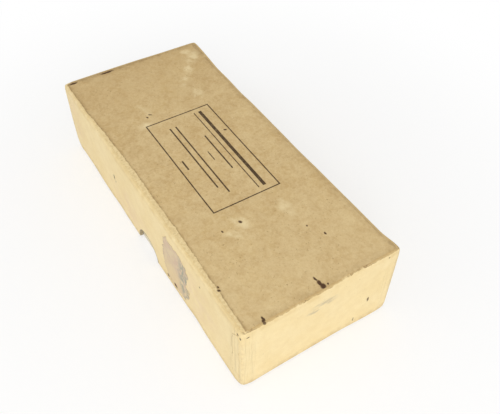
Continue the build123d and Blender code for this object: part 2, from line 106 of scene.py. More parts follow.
def add_node(
    tree: bpy.types.NodeTree, kind: str, inputs: Optional[dict] = None, **settings
) -> bpy.types.Node:
    """Adds a node with its settings, and links or sets its inputs.

    Args:
        tree: Node tree that gets the node.
        kind: The node's type.
        inputs: Socket name or number to an output that is linked to it, or to a plain value.
        **settings: The node's own properties.

    Returns:
        The new node.
    """
    node = tree.nodes.new(kind)
    for name, value in settings.items():
        setattr(node, name, value)
    for name, value in (inputs or {}).items():
        if isinstance(value, bpy.types.NodeSocket):
            tree.links.new(value, node.inputs[name])
        else:
            node.inputs[name].default_value = value
    return node


@dataclass(frozen=True)
class Mark:
    """A stain, scuff or smudge: its middle, its half sizes, its turn about Z and how softly it ends."""

    at: Triple
    half: Triple
    turn: float = 0.0
    soft: float = 0.4

    @classmethod
    def on_top(
        cls, x: float, y: float, length: float, width: float, turn: float = 0.0, soft: float = 0.4
    ) -> "Mark":
        """Mark on the lid's top, by its half length and half width."""
        return cls((x, y, LID_TOP), (length, width, 9.0), turn, soft)

    @classmethod
    def on_side(
        cls, x: float, z: float, length: float, height: float, soft: float = 0.4, deep: float = 6.0
    ) -> "Mark":
        """Mark on the long side that has the torn label, by its half length and half height."""
        return cls((x, -LID_SIDE, z), (length, deep, height), 0.0, soft)

    @classmethod
    def on_end(cls, y: float, z: float, width: float, height: float, soft: float = 0.4) -> "Mark":
        """Mark on the lid's near end, by its half width and half height."""
        return cls((LID_END, y, z), (6.0, width, height), 0.0, soft)


@dataclass(frozen=True)
class Cloud:
    """Clouds of one colour: their size, how softly they end, how much shows, octaves and stretch."""

    colour: str
    size: float
    spread: float
    amount: float
    detail: float = 3.0
    stretch: Triple = (1, 1, 1)


@dataclass(frozen=True)
class Specks:
    """Specks of one colour: their size, the noise's levels where they start and are full, how much shows.

    Patches, where given, are the size and spread of the clouds that the specks gather in.
    """

    colour: str
    size: float
    start: float
    full: float
    amount: float
    detail: float = 1.0
    stretch: Triple = (1, 1, 1)
    patches: Optional[tuple[float, float]] = None


@dataclass(frozen=True)
class Lumps:
    """Uneven height: size and depth of its lumps, and the noise's spread, octaves and stretch."""

    size: float
    depth: float
    spread: float = 0.2
    detail: float = 2.0
    stretch: Triple = (1, 1, 1)


class Surface:
    """One material being made: its tree, its coordinates in metres and the masks of its patterns."""

    def __init__(self, name: str) -> None:
        """Starts an empty material.

        Args:
            name: The material's name.
        """
        self.material = bpy.data.materials.new(name)
        self.material.use_nodes = True
        self.tree = self.material.node_tree
        self.tree.nodes.clear()
        self.place = add_node(self.tree, "ShaderNodeTexCoord").outputs["Object"]
        self.seed = 0.0

    def shaken(self, size: float, reach: float) -> Socket:
        """Coordinates that a noise shakes, so that what is drawn on them has ragged edges.

        Args:
            size: Size of the noise's lumps.
            reach: How far it shifts a point at most.

        Returns:
            The shaken coordinates.
        """
        lumps = {"Vector": self.place, "Scale": 1 / (size * MM), "Detail": 3.0}
        shake = add_node(self.tree, "ShaderNodeTexNoise", lumps).outputs["Color"]
        middle = {0: shake, 1: (0.5, 0.5, 0.5)}
        centred = add_node(self.tree, "ShaderNodeVectorMath", middle, operation="SUBTRACT").outputs[0]
        sized = {0: centred, "Scale": 2 * reach * MM}
        shift = add_node(self.tree, "ShaderNodeVectorMath", sized, operation="SCALE").outputs[0]
        moved = {0: self.place, 1: shift}
        return add_node(self.tree, "ShaderNodeVectorMath", moved, operation="ADD").outputs[0]

    def mottle(
        self, size: float, spread: float = 0.12, detail: float = 3.0, stretch: Triple = (1, 1, 1),
        vector: Optional[Socket] = None,
    ) -> Socket:
        """Cloudy mask from 0 to 1, different each time it is asked for.

        Args:
            size: Size of its clouds.
            spread: Half of the noise's range that is drawn out to the mask's, so less is harder.
            detail: Octaves of the noise.
            stretch: How many times longer the clouds are along each axis.
            vector: Coordinates to read in place of the object's.

        Returns:
            The mask.
        """
        self.seed += 7.3
        scale = tuple(1 / times for times in stretch)
        drawn = add_node(self.tree, "ShaderNodeMapping", {"Vector": vector or self.place, "Scale": scale})
        lumps = {"Vector": drawn.outputs[0], "Scale": 1 / (size * MM), "Detail": detail, "W": self.seed}
        cloud = add_node(self.tree, "ShaderNodeTexNoise", lumps, noise_dimensions="4D").outputs["Fac"]
        return self.ramp(cloud, 0.5 - spread, 0.5 + spread)

    def ramp(self, value: Socket, low: float, high: float) -> Socket:
        """Smooth step of a value, falling where low is above high.

        Args:
            value: What is read.
            low: Value that gives 0.
            high: Value that gives 1.

        Returns:
            The mask.
        """
        ends = {"Value": value, "From Min": min(low, high), "From Max": max(low, high)}
        if low > high:
            ends.update({"To Min": 1.0, "To Max": 0.0})
        return add_node(self.tree, "ShaderNodeMapRange", ends, interpolation_type="SMOOTHSTEP").outputs[0]

    def product(self, *values: Union[Socket, float]) -> Socket:
        """Product of masks and plain shares.

        Args:
            *values: Masks and numbers.

        Returns:
            The product.
        """
        result = values[0]
        for value in values[1:]:
            pair = {0: result, 1: value}
            result = add_node(self.tree, "ShaderNodeMath", pair, operation="MULTIPLY").outputs[0]
        return result

    def layer(self, under: Colour, colour: Union[str, Socket], mask: Socket, amount: float = 1.0) -> Socket:
        """Lays a colour over another where a mask says so.

        Args:
            under: Colour below.
            colour: Hex colour or socket on top.
            mask: Where the top one shows.
            amount: How much of it shows at most. Above 1 the mask is drawn out, and cut off at 1.

        Returns:
            The mixed colour.
        """
        top = linear(colour) if isinstance(colour, str) else colour
        share = self.product(mask, amount)
        mixed = add_node(self.tree, "ShaderNodeMix", {0: share, 6: under, 7: top}, data_type="RGBA")
        return mixed.outputs[2]

    def clouded(self, base: str, clouds: Iterable[Cloud]) -> Colour:
        """Base colour with layers of clouds on it.

        Args:
            base: Hex colour below.
            clouds: The layers, lowest first.

        Returns:
            The mixed colour.
        """
        colour: Colour = linear(base)
        for cloud in clouds:
            mask = self.mottle(cloud.size, cloud.spread, cloud.detail, cloud.stretch)
            colour = self.layer(colour, cloud.colour, mask, cloud.amount)
        return colour

    def specked(self, specks: Specks) -> Socket:
        """Mask of specks.

        Args:
            specks: Their sizes.

        Returns:
            The mask.
        """
        cloud = self.mottle(specks.size, 0.5, specks.detail, specks.stretch)
        mask = self.ramp(cloud, specks.start, specks.full)
        if specks.patches:
            mask = self.product(mask, self.mottle(*specks.patches))
        return mask

    def lumpy(self, relief: Iterable[Lumps]) -> list[tuple[Socket, float]]:
        """Height masks of uneven surfaces.

        Args:
            relief: The surfaces' sizes.

        Returns:
            The masks, each with the depth of its full range.
        """
        return [(self.mottle(one.size, one.spread, one.detail, one.stretch), one.depth) for one in relief]

    def marks(self, marks: Iterable[Mark], vector: Optional[Socket] = None) -> Socket:
        """Mask of several ragged spots.

        Args:
            marks: The spots.
            vector: Coordinates to read in place of the object's.

        Returns:
            The mask.
        """
        result = None
        for mark in marks:
            spot = {
                "Vector": vector or self.place,
                "Location": [value * MM for value in mark.at],
                "Rotation": (0, 0, math.radians(mark.turn)),
                "Scale": [value * MM for value in mark.half],
            }
            own = add_node(self.tree, "ShaderNodeMapping", spot, vector_type="TEXTURE").outputs[0]
            away = add_node(self.tree, "ShaderNodeVectorMath", {0: own}, operation="LENGTH").outputs[1]
            mask = self.ramp(away, 1 + mark.soft, 1 - mark.soft)
            if result is not None:
                pair = {0: result, 1: mask}
                mask = add_node(self.tree, "ShaderNodeMath", pair, operation="MAXIMUM").outputs[0]
            result = mask
        return result

    def box_reach(self, at: Triple, half: Triple, vector: Socket, turn: float = 0.0) -> Socket:
        """Distance in metres beyond the sides of an upright box, less than zero inside it.

        Args:
            at: Middle of the box.
            half: Half sizes of the box.
            vector: Coordinates to read.
            turn: Its turn about Z in degrees.

        Returns:
            The distance.
        """
        spot = {
            "Vector": vector,
            "Location": [value * MM for value in at],
            "Rotation": (0, 0, math.radians(turn)),
        }
        own = add_node(self.tree, "ShaderNodeMapping", spot, vector_type="TEXTURE").outputs[0]
        bare = add_node(self.tree, "ShaderNodeVectorMath", {0: own}, operation="ABSOLUTE").outputs[0]
        reach = {0: bare, 1: [value * MM for value in half]}
        past = add_node(self.tree, "ShaderNodeVectorMath", reach, operation="SUBTRACT").outputs[0]
        parts = add_node(self.tree, "ShaderNodeSeparateXYZ", {0: past}).outputs
        level = {0: parts[0], 1: parts[1]}
        flat = add_node(self.tree, "ShaderNodeMath", level, operation="MAXIMUM").outputs[0]
        return add_node(self.tree, "ShaderNodeMath", {0: flat, 1: parts[2]}, operation="MAXIMUM").outputs[0]

    def finish(
        self, colour: Colour, roughness: Union[Socket, float], relief: Sequence[tuple[Socket, float]],
        sockets: dict[str, float],
    ) -> bpy.types.Material:
        """Ends the tree with relief, shader and output.

        Args:
            colour: Base colour.
            roughness: Roughness, one value or a pattern.
            relief: Height masks, each with the depth of its full range.
            sockets: Other inputs of the shader, as plain values.

        Returns:
            The material.
        """
        inputs = {"Base Color": colour, "Roughness": roughness, **sockets}
        for height, depth in relief:
            bump = {"Height": height, "Distance": depth * MM, "Strength": 1.0}
            if "Normal" in inputs:
                bump["Normal"] = inputs["Normal"]
            inputs["Normal"] = add_node(self.tree, "ShaderNodeBump", bump).outputs[0]
        shader = add_node(self.tree, "ShaderNodeBsdfPrincipled", inputs)
        add_node(self.tree, "ShaderNodeOutputMaterial", {"Surface": shader.outputs[0]})
        return self.material


@dataclass(frozen=True)
class Finish:
    """One finish: its slot in the record, its material's name, its colours, unevenness and gloss.

    A paper adds its own wear in paint. A finish whose pattern also sets its gloss has a build of its own.
    """

    slot: str
    name: str
    base: str
    clouds: tuple[Cloud, ...] = ()
    flecks: Optional[Specks] = None
    relief: tuple[Lumps, ...] = ()
    roughness: float = 0.8
    specular: float = 0.3

    def build(self) -> bpy.types.Material:
        """Makes the material.

        Returns:
            The material.
        """
        surface = Surface(self.name)
        colour = self.paint(surface, surface.clouded(self.base, self.clouds))
        relief = self.raise_relief(surface)
        return surface.finish(colour, self.roughness, relief, {"Specular IOR Level": self.specular})

    def paint(self, surface: Surface, colour: Colour) -> Colour:
        """Paints what lies on the clouds, which is the flecks alone where a finish says no more.

        Args:
            surface: The surface.
            colour: Colour so far.

        Returns:
            The painted colour.
        """
        if self.flecks is None:
            return colour
        return surface.layer(colour, self.flecks.colour, surface.specked(self.flecks), self.flecks.amount)

    def raise_relief(self, surface: Surface) -> list[tuple[Socket, float]]:
        """Height masks of the surface, each with its depth."""
        return surface.lumpy(self.relief)


# Finishes: papers and board


@dataclass(frozen=True)
class TanCoverPaper(Finish):
    """Machine-glazed tan cover paper with a printed frame: dry, fibrous, rubbed pale, its edges grimy."""

    slot: str = "tan_cover_paper"
    name: str = "machine_glazed_tan_paper"
    base: str = "#CDB17C"
    deep: str = "#B99A68"
    pale: str = "#DEC797"
    rubbed: str = "#E9D6A8"
    bared: str = "#EBD5A2"
    grime: str = "#9C7F52"
    soot: str = "#7A5C39"
    ink: str = "#33200E"
    rust: str = "#3A1A09"
    # Real fibres are 0.02 mm wide: the last two clouds draw them far coarser, so that the paper's grain shows
    clouds: tuple[Cloud, ...] = (
        Cloud(deep, 44, 0.13, 0.32),
        Cloud(pale, 17, 0.11, 0.40),
        Cloud(deep, 6.5, 0.11, 0.42),
        Cloud(pale, 3.1, 0.11, 0.38),
        Cloud(deep, 0.75, 0.2, 0.34, 2.0),
        Cloud(pale, 1.4, 0.12, 0.30, 2.0),
    )
    flecks: Specks = Specks(grime, 1.1, 0.73, 0.82, 0.8, patches=(14, 0.3))
    relief: tuple[Lumps, ...] = (Lumps(0.9, 0.05), Lumps(9, 0.16, detail=3.0))
    roughness: float = 0.82
    specular: float = 0.28
    # From where to where painted shade darkens the sheet towards its far end and painted light pales it
    # towards its near one
    shade_run: tuple[float, float] = (20.0, 110.0)
    sheet_half: tuple[float, float] = (106.4, 45.4)
    # Where the long side's bare border starts, and from where to where it narrows by how much
    bared_from: float = 42.1
    narrowings: tuple[Triple, ...] = ((0.0, -106.0, 3.1), (35.0, 104.0, 1.3))
    frame_at: tuple[float, float] = (-2.9, 0.65)
    frame_half: tuple[float, float] = (40.5, 20.95)
    frame_turn: float = -0.19
    frame_line: float = 0.7
    # Start, end, level and height of each printed rule
    rules: tuple[tuple[float, float, float, float], ...] = (
        (-40.0, 34.0, 14.2, 2.0),
        (-40.0, 34.0, 10.4, 0.6),
        (-18.5, 13.5, 5.9, 0.9),
        (-5.5, 2.5, 0.6, 0.6),
        (-34.5, 28.5, -5.2, 0.9),
        (-34.5, 22.5, -9.0, 0.9),
        (-6.0, 2.0, -16.0, 1.0),
    )
    scuffs: tuple[Mark, ...] = (
        Mark.on_top(-80, 28, 7, 3.0, 139),
        Mark.on_top(-93, 38.5, 8, 3.2, 139, 0.6),
        Mark.on_top(-100, 37, 5.5, 2.4, 60, 0.7),
        Mark.on_top(-72, 21, 5, 2.4, 139, 0.7),
        Mark.on_top(50.5, -12.0, 5.5, 3.0, 20, 0.6),
        Mark.on_top(56, -18.5, 5, 2.2, 60, 0.6),
        Mark.on_top(-59, -15, 5, 3, 20, 0.8),
        Mark.on_top(-56, 22, 6, 3, 150, 0.8),
        Mark.on_top(53, 14, 6, 3, 10, 0.8),
        Mark.on_top(-46, -19, 5, 3, 100, 0.8),
    )
    spots: tuple[Mark, ...] = (
        Mark.on_top(105.0, -33.7, 1.3, 0.7, soft=0.3),
        Mark.on_top(106.6, -34.1, 1.4, 0.9, soft=0.3),
        Mark.on_top(105.2, 0.6, 1.7, 1.4, soft=0.3),
        Mark.on_top(102.9, 0.2, 1.9, 1.0, 5, 0.3),
        Mark.on_top(99.8, -0.3, 1.4, 0.6, 10, 0.3),
        Mark.on_top(105.4, 3.4, 0.6, 0.5, soft=0.3),
        Mark.on_top(-52.8, -13.1, 1.2, 0.5, 50),
        Mark.on_top(-51.5, -15.7, 0.9, 0.4, 20),
        Mark.on_top(50, -11.8, 1.1, 0.8, 20),
        Mark.on_top(50.9, -23.2, 0.7, 0.5),
        Mark.on_top(70.4, 16.3, 0.55, 0.4, soft=0.6),
        Mark.on_top(79.5, 21.2, 0.8, 0.5),
        Mark.on_top(-16.8, 19, 1.0, 0.6, 70),
        Mark.on_top(81.2, -43, 0.9, 0.5, 40, 0.5),
        Mark.on_top(79.2, -42.4, 0.6, 0.4, soft=0.5),
        Mark.on_top(-106, -18, 0.8, 4.4),
        Mark.on_top(-106, -41.5, 0.8, 2.6),
    )

    def paint(self, surface: Surface, colour: Colour) -> Colour:
        """Paints shade and light along the sheet's length, wears it, prints it and stains it.

        Args:
            surface: The surface.
            colour: Colour so far.

        Returns:
            The finished colour.
        """
        start, end = (place * MM for place in self.shade_run)
        along = add_node(surface.tree, "ShaderNodeSeparateXYZ", {0: surface.place}).outputs[0]
        # Painted shade towards the far end, painted light towards the near one
        colour = surface.layer(colour, self.deep, surface.ramp(along, -start, -end), 0.26)
        colour = surface.layer(colour, self.pale, surface.ramp(along, start, end), 0.2)
        colour = self.wear(surface, colour)
        colour = self.bare(surface, colour)
        colour = self.print_rules(surface, colour)
        colour = surface.layer(colour, self.rust, surface.marks(self.spots, surface.shaken(1.6, 0.55)), 0.92)
        return super().paint(surface, colour)

    def wear(self, surface: Surface, colour: Colour) -> Colour:
        """Rubs the sheet pale in places, and darkens its edges.

        Args:
            surface: The surface.
            colour: Colour so far.

        Returns:
            The worn colour.
        """
        length, width = self.sheet_half
        rough = surface.shaken(3.5, 2.4)
        rubs = surface.product(surface.marks(self.scuffs, rough), surface.mottle(6.0, 0.16, 4.0))
        colour = surface.layer(colour, self.rubbed, rubs, 0.78)
        past = surface.box_reach((0, 0, LID_TOP), (length, width, FAR), rough)
        edge = surface.product(surface.ramp(past, -5.5 * MM, 0.2 * MM), surface.mottle(5, 0.24))
        colour = surface.layer(colour, self.grime, edge, 0.42)
        # The near end's edge has no soot, so this box has no end there
        past = surface.box_reach((FAR - length, 0, LID_TOP), (FAR, width, FAR), surface.shaken(2.0, 0.7))
        rim = surface.product(surface.ramp(past, -1.3 * MM, -0.3 * MM), surface.mottle(3.4, 0.16, 4.0))
        return surface.layer(colour, self.soot, rim, 0.34)

    def bare(self, surface: Surface, colour: Colour) -> Colour:
        """Bares the sheet along one long side, with a ragged edge that is dark where it tore.

        Args:
            surface: The surface.
            colour: Colour so far.

        Returns:
            The bared colour.
        """
        shaken = (surface.shaken(16, 2.0), surface.shaken(2.6, 1.5))
        wavy, ragged = [add_node(surface.tree, "ShaderNodeSeparateXYZ", {0: one}).outputs for one in shaken]
        # The line adds both, so its distances count twice
        both = {0: wavy[1], 1: ragged[1]}
        line = add_node(surface.tree, "ShaderNodeMath", both, operation="ADD").outputs[0]
        for start, end, narrower in self.narrowings:
            along = surface.ramp(wavy[0], start * MM, end * MM)
            held = {0: line, 1: surface.product(along, 2 * narrower * MM)}
            line = add_node(surface.tree, "ShaderNodeMath", held, operation="ADD").outputs[0]
        border, darker, torn = (
            surface.ramp(line, -2 * (self.bared_from + low) * MM, -2 * (self.bared_from + high) * MM)
            for low, high in ((0.0, 0.6), (-1.5, 0.2), (-0.5, 0.1))
        )
        colour = surface.layer(colour, self.grime, surface.product(darker, surface.mottle(2.2, 0.16)), 0.6)
        colour = surface.layer(colour, self.soot, surface.product(torn, surface.mottle(2.4, 0.13, 4.0)), 0.5)
        bared = surface.layer(linear(self.bared), self.base, surface.mottle(1.6, 0.12), 0.45)
        return surface.layer(colour, bared, border, 0.95)

    def print_rules(self, surface: Surface, colour: Colour) -> Colour:
        """Prints the thin frame and the plain rules inside it.

        Args:
            surface: The surface.
            colour: Colour so far.

        Returns:
            The printed colour.
        """
        fuzzy = surface.shaken(1.2, 0.10)
        past = surface.box_reach((*self.frame_at, LID_TOP), (*self.frame_half, FAR), fuzzy, self.frame_turn)
        near = add_node(surface.tree, "ShaderNodeMath", {0: past}, operation="ABSOLUTE").outputs[0]
        ink = surface.ramp(near, (self.frame_line / 2 + 0.16) * MM, (self.frame_line / 2 - 0.08) * MM)
        for start, end, level, tall in self.rules:
            at, half = ((start + end) / 2, level, LID_TOP), ((end - start) / 2, tall / 2, FAR)
            rule = surface.ramp(surface.box_reach(at, half, fuzzy, self.frame_turn), 0.14 * MM, -0.10 * MM)
            ink = add_node(surface.tree, "ShaderNodeMath", {0: ink, 1: rule}, operation="MAXIMUM").outputs[0]
        # The press bore down unevenly, so the ink thins out in patches
        patchy = surface.ramp(surface.mottle(1.6, 0.22, 3.0), -1.6, 0.6)
        return surface.layer(colour, self.ink, surface.product(ink, patchy), 0.93)


@dataclass(frozen=True)
class CreamSidePaper(Finish):
    """Cream-coloured wrapping paper over the lid's sides: smooth, darker towards the bottom, creased at its
    folds.
    """

    slot: str = "cream_cover_paper"
    name: str = "cream_wrapping_paper"
    base: str = "#EFDBAA"
    deep: str = "#DDC48E"
    pale: str = "#F6E7BF"
    grime: str = "#A98E62"
    pink: str = "#DDBFA6"
    grey: str = "#A39B88"
    margin: str = "#C6AA76"
    brown: str = "#8A6A42"
    # Grey of the painted shadow round the thumb notches
    notch_shadow: str = "#7D7564"
    dark: str = "#4B3626"
    # The third cloud draws the fibres, again far coarser than they are
    clouds: tuple[Cloud, ...] = (
        Cloud(deep, 38, 0.18, 0.20),
        Cloud(pale, 15, 0.16, 0.26),
        Cloud(deep, 0.8, 0.2, 0.17, 2.0),
        Cloud(deep, 4.5, 0.16, 0.24),
    )
    flecks: Specks = Specks(grime, 1.2, 0.80, 0.86, 0.6, patches=(18, 0.3))
    relief: tuple[Lumps, ...] = (Lumps(0.9, 0.03), Lumps(11, 0.16, detail=3.0))
    roughness: float = 0.74
    specular: float = 0.32
    foot: float = 0.6
    middle: Triple = (0.0, 0.0, 25.0)
    half: tuple[float, float] = (107.9, 46.9)
    # Where the turned-over paper starts to show round the top sheet, on its two ends and its far long side
    margin_half: tuple[float, float] = (105.6, 43.8)
    # Half heights of the sides without their aged rims and without the turned-over paper
    aged_half: float = 24.6
    over_half: float = 25.4
    notch: Triple = (2.5, 0.0, 0.6)
    notch_radius: float = 12.0
    crease_depth: float = 0.42
    smears: tuple[Mark, ...] = (
        Mark.on_end(0.5, 39.5, 6.5, 2.4, 0.7),
        Mark.on_end(-5, 37, 4, 1.6, 0.7),
    )
    blush: tuple[Mark, ...] = (
        Mark.on_side(-20, 14, 24, 9, 0.9, 9),
        Mark.on_side(-22, 21, 5, 8, 0.7, 9),
        Mark.on_side(64, 24, 16, 16, 0.9, 9),
        Mark.on_side(-96, 30, 8, 20, 0.9, 9),
    )
    spots: tuple[Mark, ...] = (
        Mark.on_side(-38.9, 26.6, 0.8, 2.1),
        Mark.on_side(-37.5, 24.0, 0.4, 1.0),
        Mark.on_side(68.3, 40.8, 0.6, 0.6),
        Mark.on_side(104.6, 47.9, 0.7, 0.7),
        Mark.on_side(106.6, 47.0, 0.5, 0.8),
        Mark.on_end(-43.6, 47.3, 0.9, 0.5),
        Mark.on_end(31.8, 18.9, 0.6, 1.8),
        Mark.on_end(24.0, 5.5, 0.4, 1.6),
        Mark.on_end(40.5, 48.4, 0.5, 0.4),
        Mark.on_side(28.6, 4.6, 1.2, 1.3),
        Mark.on_side(38.0, 5.2, 1.6, 1.7),
        Mark((107.2, -34.3, LID_TOP), (1.1, 0.9, 0.9), 0, 0.3),
    )
    # The corners that are lapped and folded in: the near one first
    creased: tuple[Mark, ...] = (
        Mark((105, -45, 25), (9, 7, 30), 0, 0.5),
        Mark((-105, -45, 25), (6, 6, 30), 0, 0.5),
        Mark((105, 45, 25), (6, 6, 30), 0, 0.5),
    )

    def paint(self, surface: Surface, colour: Colour) -> Colour:
        """Smears, soils and ages the paper, paints shadow round its thumb notches, and adds its spots.

        Args:
            surface: The surface.
            colour: Colour so far.

        Returns:
            The finished colour.
        """
        rough = surface.shaken(3.0, 1.2)
        blushing = surface.product(surface.marks(self.blush, rough), surface.mottle(7, 0.2))
        colour = surface.layer(colour, self.pink, blushing, 0.4)
        streaks = surface.mottle(1.6, 0.16, 3.0, (1, 3, 1))
        smeared = surface.product(surface.marks(self.smears, rough), streaks)
        colour = surface.layer(colour, self.grey, smeared, 0.55)
        # Darker towards the bottom of the walls
        past = surface.box_reach((0, 0, 0), (FAR, FAR, self.foot), rough)
        low = surface.product(surface.ramp(past, 6 * MM, 0.0), surface.mottle(4, 0.2))
        colour = surface.layer(colour, self.grime, low, 0.42)
        colour = self.age_edges(surface, colour, rough)
        # Painted shadow round the thumb notches
        colour = self.paint_notch_shadow(surface, colour)
        colour = surface.layer(colour, self.dark, surface.marks(self.spots, surface.shaken(1.6, 0.5)), 0.85)
        return super().paint(surface, colour)

    def age_edges(self, surface: Surface, colour: Colour, rough: Socket) -> Colour:
        """Browns the folded top edge and the upright corners, where hands and shelves rubbed them.

        Args:
            surface: The surface.
            colour: Colour so far.
            rough: Shaken coordinates.

        Returns:
            The aged colour.
        """
        past = surface.box_reach(self.middle, (FAR, FAR, self.aged_half), rough)
        top = surface.product(surface.ramp(past, -3.6 * MM, -0.4 * MM), surface.mottle(5, 0.2))
        colour = surface.layer(colour, self.deep, top, 0.75)
        fine = surface.shaken(1.8, 0.5)
        length, width = self.margin_half
        sheet = ((0, width - FAR, 25), (length, FAR, FAR))
        walls = (self.middle, (FAR, FAR, self.over_half))
        beyond, above = (
            surface.ramp(surface.box_reach(*box, fine), -0.1 * MM, 0.3 * MM) for box in (sheet, walls)
        )
        across = add_node(surface.tree, "ShaderNodeSeparateXYZ", {0: fine}).outputs[1]
        covered = surface.product(beyond, above, surface.ramp(across, -43.2 * MM, -42.2 * MM))
        colour = surface.layer(colour, self.margin, covered, 0.9)
        brink = surface.product(above, surface.ramp(above, 1.0, 0.1), beyond, surface.mottle(4, 0.12, 4.0))
        colour = surface.layer(colour, self.brown, brink, 2.4)
        # Only a corner is near both pairs of faces, so the pair that is farther off counts
        ends = surface.box_reach(self.middle, (self.half[0], FAR, FAR), rough)
        sides = surface.box_reach(self.middle, (FAR, self.half[1], FAR), rough)
        pair = {0: ends, 1: sides}
        farther = add_node(surface.tree, "ShaderNodeMath", pair, operation="MINIMUM").outputs[0]
        corner = surface.product(surface.ramp(farther, -1.5 * MM, 0.4 * MM), surface.mottle(3, 0.24))
        return surface.layer(colour, self.grime, corner, 0.42)

    def paint_notch_shadow(self, surface: Surface, colour: Colour) -> Colour:
        """Paints a grey shadow round the rim of the thumb notches, where the gap under the cut edge lies in
        shade.

        Args:
            surface: The surface.
            colour: Colour so far.

        Returns:
            The colour with its painted shadow.
        """
        shift = {0: surface.shaken(2.0, 0.3), 1: [value * MM for value in self.notch]}
        own = add_node(surface.tree, "ShaderNodeVectorMath", shift, operation="SUBTRACT").outputs[0]
        facing = {0: own, 1: (1, 0, 1)}
        upright = add_node(surface.tree, "ShaderNodeVectorMath", facing, operation="MULTIPLY").outputs[0]
        away = add_node(surface.tree, "ShaderNodeVectorMath", {0: upright}, operation="LENGTH").outputs[1]
        rim = surface.ramp(away, (self.notch_radius + 1.3) * MM, (self.notch_radius + 0.5) * MM)
        # Painted shadow of the gap under the notch's cut edge
        return surface.layer(colour, self.notch_shadow, rim, 0.75)

    def raise_relief(self, surface: Surface) -> list[tuple[Socket, float]]:
        """Adds the upright creases beside the corners, where the paper was lapped and folded in.

        Args:
            surface: The surface.

        Returns:
            Height masks, each with its depth.
        """
        relief = surface.lumpy(self.relief)
        folds = surface.mottle(1.7, 0.2, 2.0, (1, 1, 16))
        return [*relief, (surface.product(surface.marks(self.creased), folds), self.crease_depth)]


@dataclass(frozen=True)
class WhiteLiningPaper(Finish):
    """Thin white cover paper of the tray, gone ivory: plain, a little darker towards the bottom."""

    slot: str = "white_cover_paper"
    name: str = "ivory_lining_paper"
    base: str = "#E9E3D4"
    clouds: tuple[Cloud, ...] = (
        Cloud("#D6C9AC", 30, 0.18, 0.45),
        Cloud("#C9B994", 5, 0.14, 0.22),
        Cloud("#F3EFE4", 1.0, 0.2, 0.35, 2.0),
    )
    relief: tuple[Lumps, ...] = (Lumps(0.9, 0.03), Lumps(10, 0.12, detail=3.0))
    specular: float = 0.28
    bottom_tone: str = "#9B8A6A"
    foot: float = 0.5
    darkening_height: float = 5.0

    def paint(self, surface: Surface, colour: Colour) -> Colour:
        """Darkens the paper towards the bottom.

        Args:
            surface: The surface.
            colour: Colour so far.

        Returns:
            The darkened colour.
        """
        # Darker towards the bottom of the walls
        past = surface.box_reach((0, 0, 0), (FAR, FAR, self.foot), surface.shaken(3, 1.5))
        low = surface.product(surface.ramp(past, self.darkening_height * MM, 0.0), surface.mottle(4, 0.2))
        return surface.layer(colour, self.bottom_tone, low, 0.4)


@dataclass(frozen=True)
class TornLabelPaper(Finish):
    """What is left of a pasted label: chalky grey-pink paper, thinned and smeared."""

    slot: str = "grey_label_paper"
    name: str = "chalky_label_paper"
    base: str = "#D3BEA2"
    yellow: str = "#E3CD9E"
    blue: str = "#979B8E"
    rust: str = "#5A2E22"
    clouds: tuple[Cloud, ...] = (
        Cloud("#CFB3A0", 9, 0.16, 0.6),
        Cloud("#E0D0A8", 3.2, 0.13, 0.6),
        Cloud("#C9B498", 1.0, 0.18, 0.3, 2.0),
    )
    relief: tuple[Lumps, ...] = (Lumps(0.8, 0.06), Lumps(4, 0.12, detail=3.0))
    roughness: float = 0.85
    specular: float = 0.25
    thinned: Mark = Mark.on_side(36, 12, 11, 9, 0.8, 9)
    smeared: Mark = Mark.on_side(50.5, 24, 6.0, 19, 0.5, 9)
    spots: tuple[Mark, ...] = (
        Mark.on_side(28.6, 4.9, 1.2, 1.2),
        Mark.on_side(38.0, 5.4, 1.7, 1.6),
        Mark.on_side(40.3, 4.0, 0.9, 0.8),
    )

    def paint(self, surface: Surface, colour: Colour) -> Colour:
        """Thins the paper to yellow, smears it blue-grey and adds its rusty spots.

        Args:
            surface: The surface.
            colour: Colour so far.

        Returns:
            The finished colour.
        """
        thinned = surface.marks((self.thinned,), surface.shaken(5, 3))
        colour = surface.layer(colour, self.yellow, thinned, 0.6)
        smeared = surface.marks((self.smeared,), surface.shaken(4, 2.5))
        slanting = surface.mottle(1.5, 0.1, 3.0, (1, 1, 4), surface.shaken(9, 4.5))
        colour = surface.layer(colour, self.blue, surface.product(smeared, slanting), 0.8)
        return surface.layer(colour, self.rust, surface.marks(self.spots, surface.shaken(1.5, 0.5)), 0.95)


@dataclass(frozen=True)
class StrawBoard(Finish):
    """Grey pulp board, cut edges and inner faces: soft, speckled with straw and ink from old paper."""

    slot: str = "grey_board"
    name: str = "grey_pulp_board"
    base: str = "#A89C84"
    clouds: tuple[Cloud, ...] = (
        Cloud("#8C8069", 12, 0.16, 0.5),
        Cloud("#C6B58F", 1.1, 0.1, 0.45, 2.0, (3, 1, 1)),
    )
    flecks: Specks = Specks("#5D5444", 1.4, 0.72, 0.8, 0.6)
    relief: tuple[Lumps, ...] = (Lumps(0.7, 0.08),)
    roughness: float = 0.92
    specular: float = 0.2


@dataclass(frozen=True)
class KraftStay(Finish):
    """Brown kraft paper of the corner stays and the envelope: streaked, with dark shives."""

    slot: str = "kraft_stay_paper"
    name: str = "brown_kraft_paper"
    base: str = "#B58F5C"
    clouds: tuple[Cloud, ...] = (
        Cloud("#94703F", 11, 0.16, 0.35),
        Cloud("#CFAE7C", 2.4, 0.12, 0.4, 3.0, (1, 1, 3)),
    )
    flecks: Specks = Specks("#6B4F2C", 1.0, 0.74, 0.82, 0.6, stretch=(1, 2, 1))
    relief: tuple[Lumps, ...] = (Lumps(0.8, 0.05), Lumps(7, 0.2, detail=3.0))
    roughness: float = 0.78


# Finishes: metals, enamel and glass


